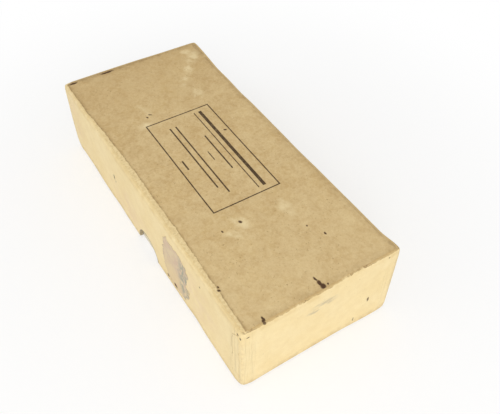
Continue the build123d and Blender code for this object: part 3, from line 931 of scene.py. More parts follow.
@dataclass(frozen=True)
class BlackenedBrass(Finish):
    """Pressed brass with a chemical black on it: dark and satin, worn to yellow metal in patches."""

    slot: str = "blackened_brass"
    name: str = "chemically_blackened_brass"
    base: str = "#3A3229"
    clouds: tuple[Cloud, ...] = (Cloud("#544631", 12, 0.2, 0.8),)
    relief: tuple[Lumps, ...] = (Lumps(0.6, 0.015),)
    bright: str = "#94783F"

    def build(self) -> bpy.types.Material:
        """Makes the material, with patches that are bright and smoother.

        Returns:
            The metal.
        """
        metal = Surface(self.name)
        worn = metal.product(metal.mottle(7, 0.10), metal.mottle(0.9, 0.14))
        colour = metal.layer(metal.clouded(self.base, self.clouds), self.bright, worn, 0.45)
        rough = metal.ramp(worn, 2.8, -1.9)
        return metal.finish(colour, rough, metal.lumpy(self.relief), {"Metallic": 1.0})


@dataclass(frozen=True)
class TarnishedPlate(Finish):
    """Plated sheet or wire: pale and satin, under a bloom of tarnish that also dulls it."""

    bloom: Cloud = Cloud("#8D887A", 6, 0.18, 0.6)
    # Levels of the bloom at which the roughness would be 0 and 1
    gloss: tuple[float, float] = (-1.0, 2.0)

    def build(self) -> bpy.types.Material:
        """Makes the material, rougher where the bloom lies.

        Returns:
            The metal.
        """
        metal = Surface(self.name)
        mask = metal.mottle(self.bloom.size, self.bloom.spread)
        colour = metal.layer(linear(self.base), self.bloom.colour, mask, self.bloom.amount)
        colour = self.paint(metal, colour)
        rough = metal.ramp(mask, *self.gloss)
        return metal.finish(colour, rough, metal.lumpy(self.relief), {"Metallic": 1.0})


@dataclass(frozen=True)
class NickelPlate(TarnishedPlate):
    """Nickel-plated steel wire and sheet: pale, slightly warm, dulled by scratches and a bloom of tarnish."""

    slot: str = "nickel_plate"
    name: str = "dulled_nickel_plate"
    base: str = "#C6C1B6"
    flecks: Specks = Specks("#6A5638", 1.8, 0.70, 0.80, 0.6, 2.0)
    relief: tuple[Lumps, ...] = (Lumps(0.5, 0.012, stretch=(6, 1, 1)),)
    bloom: Cloud = Cloud("#8F8674", 5, 0.16, 0.55)
    gloss: tuple[float, float] = (-0.9, 1.9)


@dataclass(frozen=True)
class TinnedPlate(TarnishedPlate):
    """Bright tinplate of the little tin: brushed by handling, with a grey bloom and rust specks."""

    slot: str = "tin_plate"
    name: str = "tarnished_tinplate"
    base: str = "#BDB9AD"
    flecks: Specks = Specks("#7A5230", 1.2, 0.72, 0.80, 0.8, 2.0)
    relief: tuple[Lumps, ...] = (Lumps(0.6, 0.02, stretch=(1, 1, 5)),)


@dataclass(frozen=True)
class StovedEnamel(Finish):
    """Blue-grey stoved enamel on the pressed cups: smooth with orange peel, chipped to dark metal."""

    slot: str = "blue_grey_enamel"
    name: str = "blue_grey_stoved_enamel"
    base: str = "#56646F"
    clouds: tuple[Cloud, ...] = (Cloud("#46535D", 14, 0.2, 0.5), Cloud("#74828A", 1.2, 0.14, 0.18, 2.0))
    flecks: Specks = Specks("#2E2A24", 2.6, 0.66, 0.69, 0.95, 3.0, patches=(16, 0.12))
    relief: tuple[Lumps, ...] = (Lumps(1.5, 0.012, 0.25, 1.0),)
    chip_depth: float = 0.05

    def build(self) -> bpy.types.Material:
        """Makes the material, dull and sunk where it is chipped.

        Returns:
            The enamel.
        """
        enamel = Surface(self.name)
        colour = enamel.clouded(self.base, self.clouds)
        chips = enamel.specked(self.flecks)
        colour = enamel.layer(colour, self.flecks.colour, chips, self.flecks.amount)
        rough = enamel.ramp(chips, -0.75, 1.6)
        relief = [*enamel.lumpy(self.relief), (chips, -self.chip_depth)]
        return enamel.finish(colour, rough, relief, {"Coat Weight": 0.25, "Coat Roughness": 0.2})


@dataclass(frozen=True)
class WindowGlass(Finish):
    """Ground and polished pane: clear or tinted in the melt, with faint smears."""

    slot: str = "clear_pane"
    name: str = "clear_plate_glass"
    base: str = "#F4F8F5"
    smear: str = "#DCE0D4"
    see_through: float = 1.0

    def build(self) -> bpy.types.Material:
        """Makes the material, with smears along the pane.

        Returns:
            The glass.
        """
        glass = Surface(self.name)
        smears = glass.mottle(9, 0.2, 3.0, (1, 4, 1))
        rough = glass.ramp(smears, -0.4, 6.0)
        colour = glass.layer(linear(self.base), self.smear, smears, 0.25)
        return glass.finish(colour, rough, (), {"Transmission Weight": self.see_through, "IOR": 1.52})


# Finishes: leather, fabric and paste


@dataclass(frozen=True)
class SheepLeather(Finish):
    """Brown chrome-tanned sheepskin over felt: fine pebbled grain, with darker and lighter patches."""

    slot: str = "brown_leather"
    name: str = "brown_sheep_leather"
    base: str = "#54331F"
    clouds: tuple[Cloud, ...] = (Cloud("#3A2114", 8, 0.18, 0.6), Cloud("#7A5233", 3, 0.14, 0.4))
    relief: tuple[Lumps, ...] = (Lumps(2.2, 0.12),)
    specular: float = 0.4
    # Colour of the painted shade in the hollows between the pebbles
    pore_shade: str = "#2A180E"
    # Sheepskin's pores are 0.1 mm apart: the grain is drawn at 0.6 mm so that it shows
    grain: float = 0.6
    grain_depth: float = 0.07

    def build(self) -> bpy.types.Material:
        """Makes the material, pebbled, with painted shade between its pebbles.

        Returns:
            The leather.
        """
        hide = Surface(self.name)
        cells = {"Vector": hide.place, "Scale": 1 / (self.grain * MM), "Randomness": 1.0}
        pebble = add_node(hide.tree, "ShaderNodeTexVoronoi", cells, feature="F1").outputs["Distance"]
        colour = hide.clouded(self.base, self.clouds)
        # Painted shade in the hollows between the pebbles
        colour = hide.layer(colour, self.pore_shade, hide.ramp(pebble, 0.35, 0.75), 0.55)
        rough = hide.ramp(hide.mottle(5, 0.2), -1.6, 2.4)
        relief = [(pebble, -self.grain_depth), *hide.lumpy(self.relief)]
        return hide.finish(colour, rough, relief, {"Specular IOR Level": self.specular})


@dataclass(frozen=True)
class WovenBand(Finish):
    """Cotton webbing or cloth, woven over and under: threads show as a grid with painted shade between them,
    and faded and handled zones.
    """

    slot: str = "strap_webbing"
    name: str = "cotton_elastic_webbing"
    base: str = "#7C745C"
    relief: tuple[Lumps, ...] = (Lumps(3, 0.08, detail=3.0),)
    roughness: float = 0.9
    specular: float = 0.2
    # Colour of the painted shade between the threads, and of the darker handled patches and selvedge
    gap_shade_and_dark: str = "#4C4636"
    light: str = "#9A9174"
    # Spacing of the threads across and along, near the real one, and how deep the gaps between them are
    across: float = 0.9
    along: float = 1.1
    depth: float = 0.14
    # Distance from the middle line past which a band has its darker selvedge, where it has one
    selvedge: float = 0.0

    def build(self) -> bpy.types.Material:
        """Makes the material.

        Returns:
            The weave, which follows the piece's own UV map in metres.
        """
        cloth = Surface(self.name)
        flat = add_node(cloth.tree, "ShaderNodeUVMap", uv_map="flat").outputs[0]
        threads = []
        for direction, spacing in (("X", self.across), ("Y", self.along)):
            # At a scale of one the wave's bands come every tenth of pi
            scale = math.pi / (10 * spacing * MM)
            period = {"Vector": flat, "Scale": scale, "Distortion": 0.4, "Detail": 1.0}
            wave = add_node(cloth.tree, "ShaderNodeTexWave", period, bands_direction=direction)
            threads.append(wave.outputs["Fac"])
        weave = cloth.product(*threads)
        # Painted shade in the gaps between the threads
        colour = cloth.layer(linear(self.gap_shade_and_dark), self.base, cloth.ramp(weave, 0.0, 0.45), 1.0)
        colour = cloth.layer(colour, self.light, cloth.mottle(16, 0.2), 0.45)
        colour = cloth.layer(colour, self.gap_shade_and_dark, cloth.mottle(5, 0.16), 0.25)
        if self.selvedge:
            side = add_node(cloth.tree, "ShaderNodeSeparateXYZ", {0: flat}).outputs[0]
            bare = add_node(cloth.tree, "ShaderNodeMath", {0: side}, operation="ABSOLUTE").outputs[0]
            edge = cloth.ramp(bare, (self.selvedge - 0.3) * MM, self.selvedge * MM)
            colour = cloth.layer(colour, self.gap_shade_and_dark, edge, 0.55)
        relief = [(weave, self.depth), *cloth.lumpy(self.relief)]
        sockets = {"Specular IOR Level": self.specular, "Sheen Weight": 0.25}
        return cloth.finish(colour, self.roughness, relief, sockets)


@dataclass(frozen=True)
class LinenThread(Finish):
    """Waxed linen sewing thread: pale, dull, twisted too finely to show."""

    slot: str = "cotton_cloth"
    name: str = "waxed_linen_thread"
    base: str = "#B49A6C"
    clouds: tuple[Cloud, ...] = (Cloud("#7E6741", 0.8, 0.2, 0.6),)
    relief: tuple[Lumps, ...] = (Lumps(0.4, 0.03, detail=1.0),)
    roughness: float = 0.7
    specular: float = 0.5


@dataclass(frozen=True)
class DriedPaste(Finish):
    """Soapy anti-dimming paste gone hard: waxy, pale, wiped hollow by fingers and finely cracked."""

    slot: str = "pale_paste"
    name: str = "dried_soapy_paste"
    base: str = "#D9CFAE"
    clouds: tuple[Cloud, ...] = (Cloud("#B9A876", 6, 0.2, 0.5),)
    relief: tuple[Lumps, ...] = (Lumps(5, 0.5, 0.25),)
    roughness: float = 0.45
    # Colour of the painted shade in the cracks
    crack_shade: str = "#7C6A42"
    cell: float = 4.5
    crack_depth: float = 0.15

    def build(self) -> bpy.types.Material:
        """Makes the material, cracked into cells, with painted shade in the cracks.

        Returns:
            The paste.
        """
        paste = Surface(self.name)
        cells = {"Vector": paste.shaken(4, 0.8), "Scale": 1 / (self.cell * MM)}
        edges = add_node(paste.tree, "ShaderNodeTexVoronoi", cells, feature="DISTANCE_TO_EDGE")
        gap = paste.ramp(edges.outputs["Distance"], 0.05, 0.0)
        # Painted shade in the cracks
        colour = paste.layer(paste.clouded(self.base, self.clouds), self.crack_shade, gap, 0.7)
        relief = [*paste.lumpy(self.relief), (gap, -self.crack_depth)]
        sockets = {"Subsurface Weight": 0.1, "Subsurface Scale": 2 * MM}
        return paste.finish(colour, self.roughness, relief, sockets)


CREAM = CreamSidePaper()
TAN = TanCoverPaper()
WHITE = WhiteLiningPaper()
LABEL = TornLabelPaper()
BOARD = StrawBoard()
STAY = KraftStay()
ENVELOPE = KraftStay("envelope_paper", "manila_envelope_paper", "#C9A871")
BRASS = BlackenedBrass()
NICKEL = NickelPlate()
TIN = TinnedPlate()
ENAMEL = StovedEnamel()
CLEAR = WindowGlass()
AMBER = WindowGlass("amber_pane", "amber_plate_glass", "#E9AC52", see_through=0.55)
LEATHER = SheepLeather()
WEBBING = WovenBand(selvedge=9.6)
COTTON = WovenBand(
    "cotton_cloth", "unbleached_cotton_cloth", "#D8CBA6", gap_shade_and_dark="#A8976C", light="#E9E0C4",
    across=0.7, along=0.7, depth=0.07,
)
THREAD = LinenThread()
PASTE = DriedPaste()


@lru_cache(maxsize=None)
def material_of(finish: Finish) -> bpy.types.Material:
    """Makes each finish's material once.

    Args:
        finish: The finish.

    Returns:
        Its material.
    """
    return finish.build()


# Shaping tools


def dress_nodes(finish: Finish, *nodes: str) -> None:
    """Gives carried CAD nodes a finish.

    Args:
        finish: The finish.
        *nodes: Names of the nodes.
    """
    for node in nodes:
        for held in FRAME["nodes"][node].material_slots:
            held.material = material_of(finish)
        LOG.info("dressed %s", node)


def stand(
    name: str, shape: bmesh.types.BMesh, finish: Finish, body: Body, sharp: float = 32.0
) -> bpy.types.Object:
    """Turns a finished shape into a piece that rides on a body.

    Args:
        name: The piece's name.
        shape: Its shape, which is used up.
        finish: What it is made of.
        body: The body that it rides on.
        sharp: Angle in degrees past which an edge stays sharp.

    Returns:
        The new piece.
    """
    for face in shape.faces:
        face.smooth = True
    mesh = bpy.data.meshes.new(name)
    shape.to_mesh(mesh)
    shape.free()
    mesh.set_sharp_from_angle(angle=math.radians(sharp))
    mesh.materials.append(material_of(finish))
    piece = bpy.data.objects.new(name, mesh)
    bpy.context.scene.collection.objects.link(piece)
    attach(piece, body.value)
    LOG.info("made %s", name)
    return piece


def merged_copy(node: str) -> bmesh.types.BMesh:
    """Copy of a CAD node's mesh with its loose triangles joined.

    Args:
        node: Name of the node.

    Returns:
        The copy.
    """
    shape = bmesh.new()
    shape.from_mesh(FRAME["nodes"][node].data)
    bmesh.ops.remove_doubles(shape, verts=shape.verts, dist=0.002 * MM)
    return shape


def cut_to_grid(shape: bmesh.types.BMesh, pitch: float) -> None:
    """Cuts a shape along evenly spaced planes, so that it can bend.

    Args:
        shape: The shape.
        pitch: Spacing of the planes along each axis.
    """
    places = [vertex.co for vertex in shape.verts]
    for axis in range(3):
        low = min(place[axis] for place in places)
        high = max(place[axis] for place in places)
        count = round((high - low) / (pitch * MM))
        normal = Vector([float(axis == other) for other in range(3)])
        for step in range(1, count):
            middle = normal * (low + (high - low) * step / count)
            every = shape.verts[:] + shape.edges[:] + shape.faces[:]
            bmesh.ops.bisect_plane(shape, geom=every, dist=0.001 * MM, plane_co=middle, plane_no=normal)


def bell(away: float) -> float:
    """Share that falls smoothly from 1 in the middle to 0 at a distance of 1.

    Args:
        away: Distance from the middle.

    Returns:
        The share.
    """
    return (1 - away * away) ** 2 if away < 1 else 0.0


@dataclass(frozen=True)
class Handling:
    """Waves, dents and crushed corners of a pasteboard lid that has been handled for decades.

    The shift depends on the place alone, so layers that touch stay together. It fades out with the depth
    under the skin, so that the lid still slides over its tray.
    """

    wave: float = 0.28
    wave_length: float = 58.0
    ripple: float = 0.09
    ripple_length: float = 15.0
    skin: float = 2.3
    # Height over which sinking fades out, so that the lid's lower edge stays off the floor
    foot: float = 3.0
    # Place, reach and depth of each dent: corners first, then the long edges
    dents: tuple[tuple[Triple, float, float], ...] = (
        ((108, -47, 0), 5.5, 1.2),
        ((108, -47, 51), 5.0, 0.6),
        ((108, 47, 51), 5.0, 0.4),
        ((108, 47, 0), 5.0, 0.5),
        ((-108, -47, 51), 5.0, 0.5),
        ((-108, 47, 51), 4.0, 0.25),
        ((-108, -47, 0), 6.0, 0.8),
        ((-108, 47, 0), 6.0, 0.8),
        ((-62, -47, 51), 16.0, 0.3),
        ((14, -47, 51), 20.0, 0.4),
        ((72, -47, 51), 14.0, 0.3),
        ((20, 47, 51), 22.0, 0.2),
        ((-44, 47, 51), 14.0, 0.3),
        ((108, 18, 51), 14.0, 0.35),
        ((60, -47, 1), 10.0, 0.4),
        ((-40, -47, 1), 12.0, 0.3),
    )
    # Place, reaches and move of each slow bulge: two at the far end, one at the near corner, two feet
    bulges: tuple[tuple[Triple, Triple, Triple], ...] = (
        ((-108, -34, 36), (44, 150, 90), (-1.35, 0.0, 0.45)),
        ((-108, 47, 44), (40, 40, 60), (0.0, 1.9, 0.2)),
        ((108, 47, 51), (15, 30, 45), (0.0, 1.35, 0.1)),
        ((108, 40, 2), (20, 26, 50), (0.8, 0.7, 0.0)),
        ((-86, -47, 2), (26, 20, 20), (0.0, 0.5, 0.0)),
    )

    def inward(self, middle: Triple, point: Vector) -> Vector:
        """Direction that a dent presses in, away from each face of the lid that its middle lies on.

        Args:
            middle: Middle of the dent.
            point: The point that it presses.

        Returns:
            A direction of length one.
        """
        on_end = float(abs(middle[0]) == LID_END)
        on_side = float(abs(middle[1]) == LID_SIDE)
        down = -1.0 if middle[2] > LID_TOP / 2 else 1.0
        return Vector((math.copysign(on_end, -point.x), math.copysign(on_side, -point.y), down)).normalized()

    def shift(self, place: Vector) -> Vector:
        """Works out how far a point moves.

        Args:
            place: The point in metres.

        Returns:
            Its shift in metres.
        """
        point = place / MM
        under = min(LID_END - abs(point.x), LID_SIDE - abs(point.y), LID_TOP - point.z)
        fade = max(0.0, 1 - max(under, 0.0) / self.skin)
        if not fade:
            return Vector()
        move = noise.noise_vector(point / self.wave_length) * self.wave
        move += noise.noise_vector(point / self.ripple_length + Vector((9, 4, 2))) * self.ripple
        for middle, reach, depth in self.dents:
            share = bell((point - Vector(middle)).length / reach)
            move += self.inward(middle, point) * depth * share
        for middle, reaches, bulge in self.bulges:
            away = Vector([(p - m) / r for p, m, r in zip(point, middle, reaches)])
            move += Vector(bulge) * bell(away.length)
        if move.z < 0:
            move.z *= min(1.0, max(0.0, (point.z + 0.2) / self.foot))
        return move * (fade * (3 - 2 * fade) * MM)

    def apply(self, shape: bmesh.types.BMesh) -> None:
        """Moves every point of a shape.

        Args:
            shape: The shape.
        """
        for vertex in shape.verts:
            vertex.co += self.shift(vertex.co)


# The carton


@dataclass
class Lid:
    """Lift-off lid: board, stays, wrapped sides and pasted top sheet, all worn by the same handling."""

    grid: float = 3.0
    handling: Handling = Handling()

    def build(self) -> None:
        """Makes the lid's worn layers and what is pasted on its sides."""
        layers = {"lid_board": BOARD, "lid_corner_stays": STAY, "lid_side_wrap": CREAM, "lid_top_sheet": TAN}
        for node, finish in layers.items():
            shape = merged_copy(node)
            cut_to_grid(shape, self.grid)
            self.handling.apply(shape)
            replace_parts(stand(f"{node}_worn", shape, finish, Body.LID), node)
        scrap = PastedPaper("label_scrap", LABEL, self.handling, (40.0, 23.9), (15.6, 21.3), 3.0, 0.05, 0.14)
        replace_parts(scrap.build(), "label_remnant")
        lap = PastedPaper("side_wrap_lap", CREAM, self.handling, (102.6, 25.6), (3.6, 24.2), 0.5, 0.10, 0.08)
        lap.build()


@dataclass
class PastedPaper:
    """Scrap of paper pasted on the lid's long side, torn along its outline and lifting a little there."""

    name: str
    finish: Finish
    handling: Handling
    middle: tuple[float, float]
    half: tuple[float, float]
    tear: float
    thickness: float
    curl: float
    step: float = 0.8
    wall: float = 46.995
    # Size of the notches along its torn outline
    notch: float = 9.0
    # How near the outline the paper starts to lift, as a share of the way there
    lift_share: float = 0.72

    def edge_share(self, across: float, up: float) -> float:
        """How near the torn outline a point is.

        Args:
            across: Place along X from the scrap's middle, as a share of its half width.
            up: Place along Z in the same way.

        Returns:
            1 on the outline, less inside and more outside.
        """
        square = (abs(across) ** 5 + abs(up) ** 5) ** 0.2
        point = Vector((across * self.half[0], up * self.half[1], self.middle[0]))
        torn = noise.fractal(point / self.notch, 0.6, 2.0, 4) * self.tear / min(self.half)
        return square + torn + 0.6 * self.tear / min(self.half)

    def build(self) -> bpy.types.Object:
        """Makes the scrap.

        Returns:
            The piece.
        """
        shape = bmesh.new()
        columns, rows = (round(2 * half / self.step) for half in self.half)
        bmesh.ops.create_grid(shape, x_segments=columns, y_segments=rows, size=1.0)
        outside = [face for face in shape.faces if self.edge_share(*face.calc_center_median().xy) > 1]
        bmesh.ops.delete(shape, geom=outside, context="FACES")
        rim = [vertex for vertex in shape.verts if vertex.is_boundary]
        for _ in range(2):
            bmesh.ops.smooth_vert(shape, verts=rim, factor=0.5, use_axis_x=True, use_axis_y=True)
        for vertex in shape.verts:
            across, up = vertex.co.x, vertex.co.y
            near = max(0.0, self.edge_share(across, up) - self.lift_share) / (1 - self.lift_share)
            wrinkle = 0.5 + 0.5 * noise.noise(Vector((across * 3, up * 4, self.middle[1])))
            lift = self.thickness + self.curl * min(near, 1.2) ** 2 * wrinkle
            x, z = self.middle[0] + across * self.half[0], self.middle[1] + up * self.half[1]
            skin = Vector((x, -self.wall, z)) * MM
            vertex.co = skin + self.handling.shift(skin) + Vector((0, -lift * MM, 0))
        for face in shape.faces:
            face.normal_update()
        if sum(face.normal.y for face in shape.faces) > 0:
            bmesh.ops.reverse_faces(shape, faces=shape.faces)
        piece = stand(self.name, shape, self.finish, Body.LID)
        paper = piece.modifiers.new("paper", "SOLIDIFY")
        paper.thickness = self.thickness * MM
        paper.offset = -1.0
        return piece


@dataclass
class Tray:
    """Tray that the lid slides over: board, stays, white paper, floor lining and the dividing card."""

    def build(self) -> None:
        """Dresses the tray's papers and boards."""
        dress_nodes(BOARD, "tray_board", "tray_divider")
        dress_nodes(STAY, "tray_corner_stays")
        dress_nodes(WHITE, "tray_wrap", "tray_floor_lining")


# The goggles


@dataclass
class FaceCushion:
    """One leather face cushion: a felt-filled ring, swollen by cloth, puckered at its seam and stitched."""

    side: Side
    body: Body
    wrap_angle: float = 13.0
    voxel: float = 0.95
    swell_frames: int = 14
    swell_cap: float = 0.55
    # The seam's level, and how far from it the leather is gathered and drawn in
    seam_level: float = -15.2
    gather_reach: float = 2.6
    seam_reach: float = 0.6
    seam_depth: float = 0.35
    pucker: float = 0.20
    puckers: int = 46
    stitch_pitch: float = 2.6
    stitch_share: float = 0.34
    thread: float = 0.24
    thread_rise: float = 0.06
    seam: list[Vector] = field(default_factory=list, init=False)

    @property
    def node(self) -> str:
        """Name of the CAD node that the cushion stands for."""
        return f"{self.side.name.lower()}_face_cushion"

    def frame(self) -> Matrix:
        """Matrix from the eye's own frame, on the bridge pin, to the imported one.

        Returns:
            The matrix, in metres.
        """
        pin = next(joint["pos_m"] for joint in FRAME["joints"] if joint["name"] == "bridge_hinge")
        turned = Matrix.Rotation(math.radians(self.side.value * self.wrap_angle), 4, "Y")
        return Matrix.Translation(Vector(pin)) @ turned

    def build(self) -> bpy.types.Object:
        """Makes the cushion, then its seam on it.

        Returns:
            The cushion.
        """
        shape = merged_copy(self.node)
        self.seam = self.outer_loop(shape)
        piece = stand(f"{self.node}_leather", shape, LEATHER, self.body, 80)
        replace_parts(piece, self.node)
        self.remesh(piece)
        self.swell(piece)
        self.gather(piece)
        smooth = piece.modifiers.new("smooth", "SUBSURF")
        smooth.levels = 1
        smooth.render_levels = 1
        self.sew(piece)
        return piece

    def outer_loop(self, shape: bmesh.types.BMesh) -> list[Vector]:
        """Finds the cushion's outer outline at the level of the seam.

        Args:
            shape: The cushion's mesh, which is left alone.

        Returns:
            Evenly spaced points round the outline.
        """
        cut = shape.copy()
        own = self.frame()
        at = own @ Vector((0, 0, self.seam_level * MM))
        normal = own.to_3x3() @ Vector((0, 0, 1))
        every = cut.verts[:] + cut.edges[:] + cut.faces[:]
        sliced = bmesh.ops.bisect_plane(cut, geom=every, dist=0.001 * MM, plane_co=at, plane_no=normal)
        corners = [item for item in sliced["geom_cut"] if isinstance(item, bmesh.types.BMVert)]
        places = [own.inverted() @ corner.co for corner in corners]
        cut.free()
        outermost = geometry.convex_hull_2d([place.xy for place in places])
        return self.spaced([own @ places[number] for number in outermost])

    def spaced(self, ring: list[Vector]) -> list[Vector]:
        """Spreads points evenly round a closed outline.

        Args:
            ring: Corners of the outline in order.

        Returns:
            Points a stitch apart.
        """
        closed = ring + ring[:1]
        runs = [(b - a).length for a, b in zip(closed, closed[1:])]
        count = round(sum(runs) / (self.stitch_pitch * MM))
        step = sum(runs) / count
        points: list[Vector] = []
        start = 0.0
        for a, b, run in zip(closed, closed[1:], runs):
            while len(points) < count and len(points) * step < start + run:
                points.append(a.lerp(b, (len(points) * step - start) / run))
            start += run
        return points

    def remesh(self, piece: bpy.types.Object) -> None:
        """Gives the cushion an even mesh that cloth can work on.

        Args:
            piece: The cushion.
        """
        voxels = piece.modifiers.new("voxels", "REMESH")
        voxels.mode = "VOXEL"
        voxels.voxel_size = self.voxel * MM
        voxels.use_smooth_shade = True
        mesh = bpy.data.meshes.new_from_object(piece.evaluated_get(bpy.context.evaluated_depsgraph_get()))
        piece.modifiers.clear()
        piece.data = mesh
        for polygon in mesh.polygons:
            polygon.use_smooth = True

    def swell(self, piece: bpy.types.Object) -> None:
        """Blows the leather up a little with cloth under pressure, and caps how far a point may go.

        Args:
            piece: The cushion.
        """
        start = [vertex.co.copy() for vertex in piece.data.vertices]
        cloth = piece.modifiers.new("cloth", "CLOTH")
        cloth.settings.quality = 5
        cloth.settings.use_pressure = True
        cloth.settings.uniform_pressure_force = 4.0
        cloth.settings.effector_weights.gravity = 0.0
        cloth.point_cache.frame_start = 1
        cloth.point_cache.frame_end = self.swell_frames
        for number in range(1, self.swell_frames + 1):
            bpy.context.scene.frame_set(number)
        seen = piece.evaluated_get(bpy.context.evaluated_depsgraph_get())
        ends = [vertex.co.copy() for vertex in seen.data.vertices]
        piece.modifiers.clear()
        bpy.context.scene.frame_set(1)
        cap = self.swell_cap * MM
        for vertex, before, after in zip(piece.data.vertices, start, ends):
            move = after - before
            if move.length > cap:
                move *= cap / move.length
            vertex.co = before + move

    def gather(self, piece: bpy.types.Object) -> None:
        """Pulls the leather in along the seam and puckers it towards the crown.

        Args:
            piece: The cushion.
        """
        back = self.frame().inverted()
        middle = sum((back @ point for point in self.seam), Vector()) / len(self.seam)
        shape = bmesh.new()
        shape.from_mesh(piece.data)
        shape.normal_update()
        for vertex in shape.verts:
            own = back @ vertex.co
            turn = math.atan2(own.y - middle.y, own.x - middle.x)
            away = abs(own.z / MM - self.seam_level)
            near = math.exp(-((away / self.gather_reach) ** 2))
            drawn = math.exp(-((away / self.seam_reach) ** 2)) * self.seam_depth
            fold = 0.5 + 0.5 * math.sin(self.puckers * turn + 2.4 * noise.noise(own / (6 * MM)))
            soft = noise.noise(vertex.co / (5 * MM)) * 0.16
            vertex.co -= vertex.normal * (self.pucker * near * fold + drawn - soft) * MM
        shape.to_mesh(piece.data)
        shape.free()

    def sew(self, leather: bpy.types.Object) -> None:
        """Lays one linen stitch after another along the seam, on the finished leather.

        Args:
            leather: The cushion.
        """
        shape = bmesh.new()
        half = (self.stitch_share * self.stitch_pitch, self.thread, self.thread, 1 / MM)
        for here, there in zip(self.seam, self.seam[1:] + self.seam[:1]):
            _, seat, out, _ = leather.closest_point_on_mesh(here)
            run = (there - here).normalized()
            side = run.cross(out).normalized()
            turned = Matrix((run, side.cross(run), side)).transposed().to_4x4()
            seated = Matrix.Translation(seat + out * self.thread_rise * MM)
            place = seated @ turned @ (Matrix.Diagonal(half) * MM)
            bmesh.ops.create_uvsphere(shape, u_segments=8, v_segments=6, radius=1.0, matrix=place)
        stand(f"{self.node}_stitches", shape, THREAD, self.body, 80)


@dataclass
class Goggles:
    """Hinged two-window goggles: rims, rings, panes, screws, cups, bails and the leather cushions."""

    def build(self) -> None:
        """Dresses the carried metal and glass and makes both cushions."""
        for side in ("left", "right"):
            dress_nodes(BRASS, f"{side}_eye_rim", f"{side}_pane_ring")
            dress_nodes(ENAMEL, f"{side}_eye_cup")
            dress_nodes(CLEAR, f"{side}_window_pane")
            dress_nodes(NICKEL, f"{side}_ring_screws", f"{side}_strap_bail")
        dress_nodes(NICKEL, "bridge_pin")
        FaceCushion(Side.RIGHT, Body.RIGHT_EYE).build()
        FaceCushion(Side.LEFT, Body.TRAY).build()


# Folded fabric


@dataclass
class FoldedFabric:
    """Strip of fabric folded to and fro on itself, cut flat first and then laid along its folded line.

    Pitches are the distances between its layers, and end shares say how much shorter each layer's end is.
    """

    name: str
    node: str
    finish: Finish
    base: Triple
    run: float
    tail: float
    width: float
    thickness: float
    pitches: tuple[float, ...]
    end_shares: tuple[float, ...]
    ease: float
    rests_on: str = "tray_floor_lining"
    step: float = 1.5
    columns: int = 12

    def line(self) -> list[Vector]:
        """Middle line of the folded strip, in its own X and Z.

        Returns:
            Points about a step apart.
        """
        sides = [1 if number % 2 == 0 else -1 for number in range(len(self.pitches))]
        turns = [side * (self.run / 2 - share * self.run) for side, share in zip(sides, self.end_shares)]
        level = self.thickness / 2
        points = [Vector((-self.run / 2 - self.tail, 0, level))]
        for side, turn, pitch in zip(sides, turns, self.pitches):
            points += self.straight(points[-1].x, turn, level)
            steps = max(6, round(math.pi * pitch / 2 / (0.5 * self.step)))
            for number in range(1, steps + 1):
                angle = math.pi * number / steps
                reach = pitch / 2 * math.sin(angle)
                points.append(Vector((turn + side * reach, 0, level + pitch / 2 * (1 - math.cos(angle)))))
            level += pitch
        return points + self.straight(points[-1].x, -sides[-1] * (self.run / 2 + self.tail), level)

    def straight(self, start: float, end: float, level: float) -> list[Vector]:
        """Points along one layer, after its start.

        Args:
            start: Where the layer starts.
            end: Where it ends.
            level: Height of its middle.

        Returns:
            The points.
        """
        count = max(2, round(abs(end - start) / self.step))
        return [Vector((start + (end - start) * number / count, 0, level)) for number in range(1, count + 1)]

    def build(self) -> bpy.types.Object:
        """Cuts the strip flat as a grid with its own UV map, then folds it.

        Returns:
            The piece.
        """
        line = self.line()
        lengths = [0.0]
        for a, b in zip(line, line[1:]):
            lengths.append(lengths[-1] + (b - a).length)
        shape = bmesh.new()
        bmesh.ops.create_grid(shape, x_segments=self.columns, y_segments=len(line) - 1, size=1.0)
        rows = {vertex: round((vertex.co.y + 1) / 2 * (len(line) - 1)) for vertex in shape.verts}
        flat = shape.loops.layers.uv.new("flat")
        for face in shape.faces:
            for loop in face.loops:
                loop[flat].uv = (loop.vert.co.x * self.width / 2 * MM, lengths[rows[loop.vert]] * MM)
        for vertex, row in rows.items():
            across = vertex.co.x * self.width / 2
            middle = line[row]
            sag = noise.noise(Vector((lengths[row] / 30, across / 14, middle.z / 2))) * self.ease
            drift = noise.noise(Vector((lengths[row] / 45, 3.0, 0.0))) * self.ease * 1.6
            vertex.co = (Vector(self.base) + middle + Vector((0, across + drift, sag))) * MM
        piece = stand(self.name, shape, self.finish, Body.TRAY, 60)
        bulk = piece.modifiers.new("bulk", "SOLIDIFY")
        bulk.thickness = self.thickness * 0.94 * MM
        bulk.offset = 0.0
        rounded = piece.modifiers.new("rounded", "BEVEL")
        rounded.width = self.thickness * 0.3 * MM
        rounded.segments = 2
        rounded.angle_limit = math.radians(50)
        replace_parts(piece, self.node)
        LOG.info("%s is %.0f mm long when flat", self.name, lengths[-1])
        return piece


@dataclass
class HeadStrap:
    """Elastic head strap, folded for stowing, with its slide and end hooks."""

    base: Triple = (19.5638, -28.1645, 2.75)
    run: float = 132.1
    tail: float = 10.0
    width: float = 22.0
    thickness: float = 1.6
    # The slide grips the top layer, which therefore lies a little higher than the others
    pitches: tuple[float, ...] = (2.4, 2.4, 2.4, 3.3)
    end_shares: tuple[float, ...] = (0.0, 0.012, 0.0, 0.02)
    ease: float = 0.24

    def build(self) -> None:
        """Makes the webbing and dresses its metal."""
        FoldedFabric(
            "head_strap_webbing", "head_strap", WEBBING, self.base, self.run, self.tail, self.width,
            self.thickness, self.pitches, self.end_shares, self.ease,
        ).build()
        dress_nodes(NICKEL, "strap_slide", "strap_hook_left", "strap_hook_right")


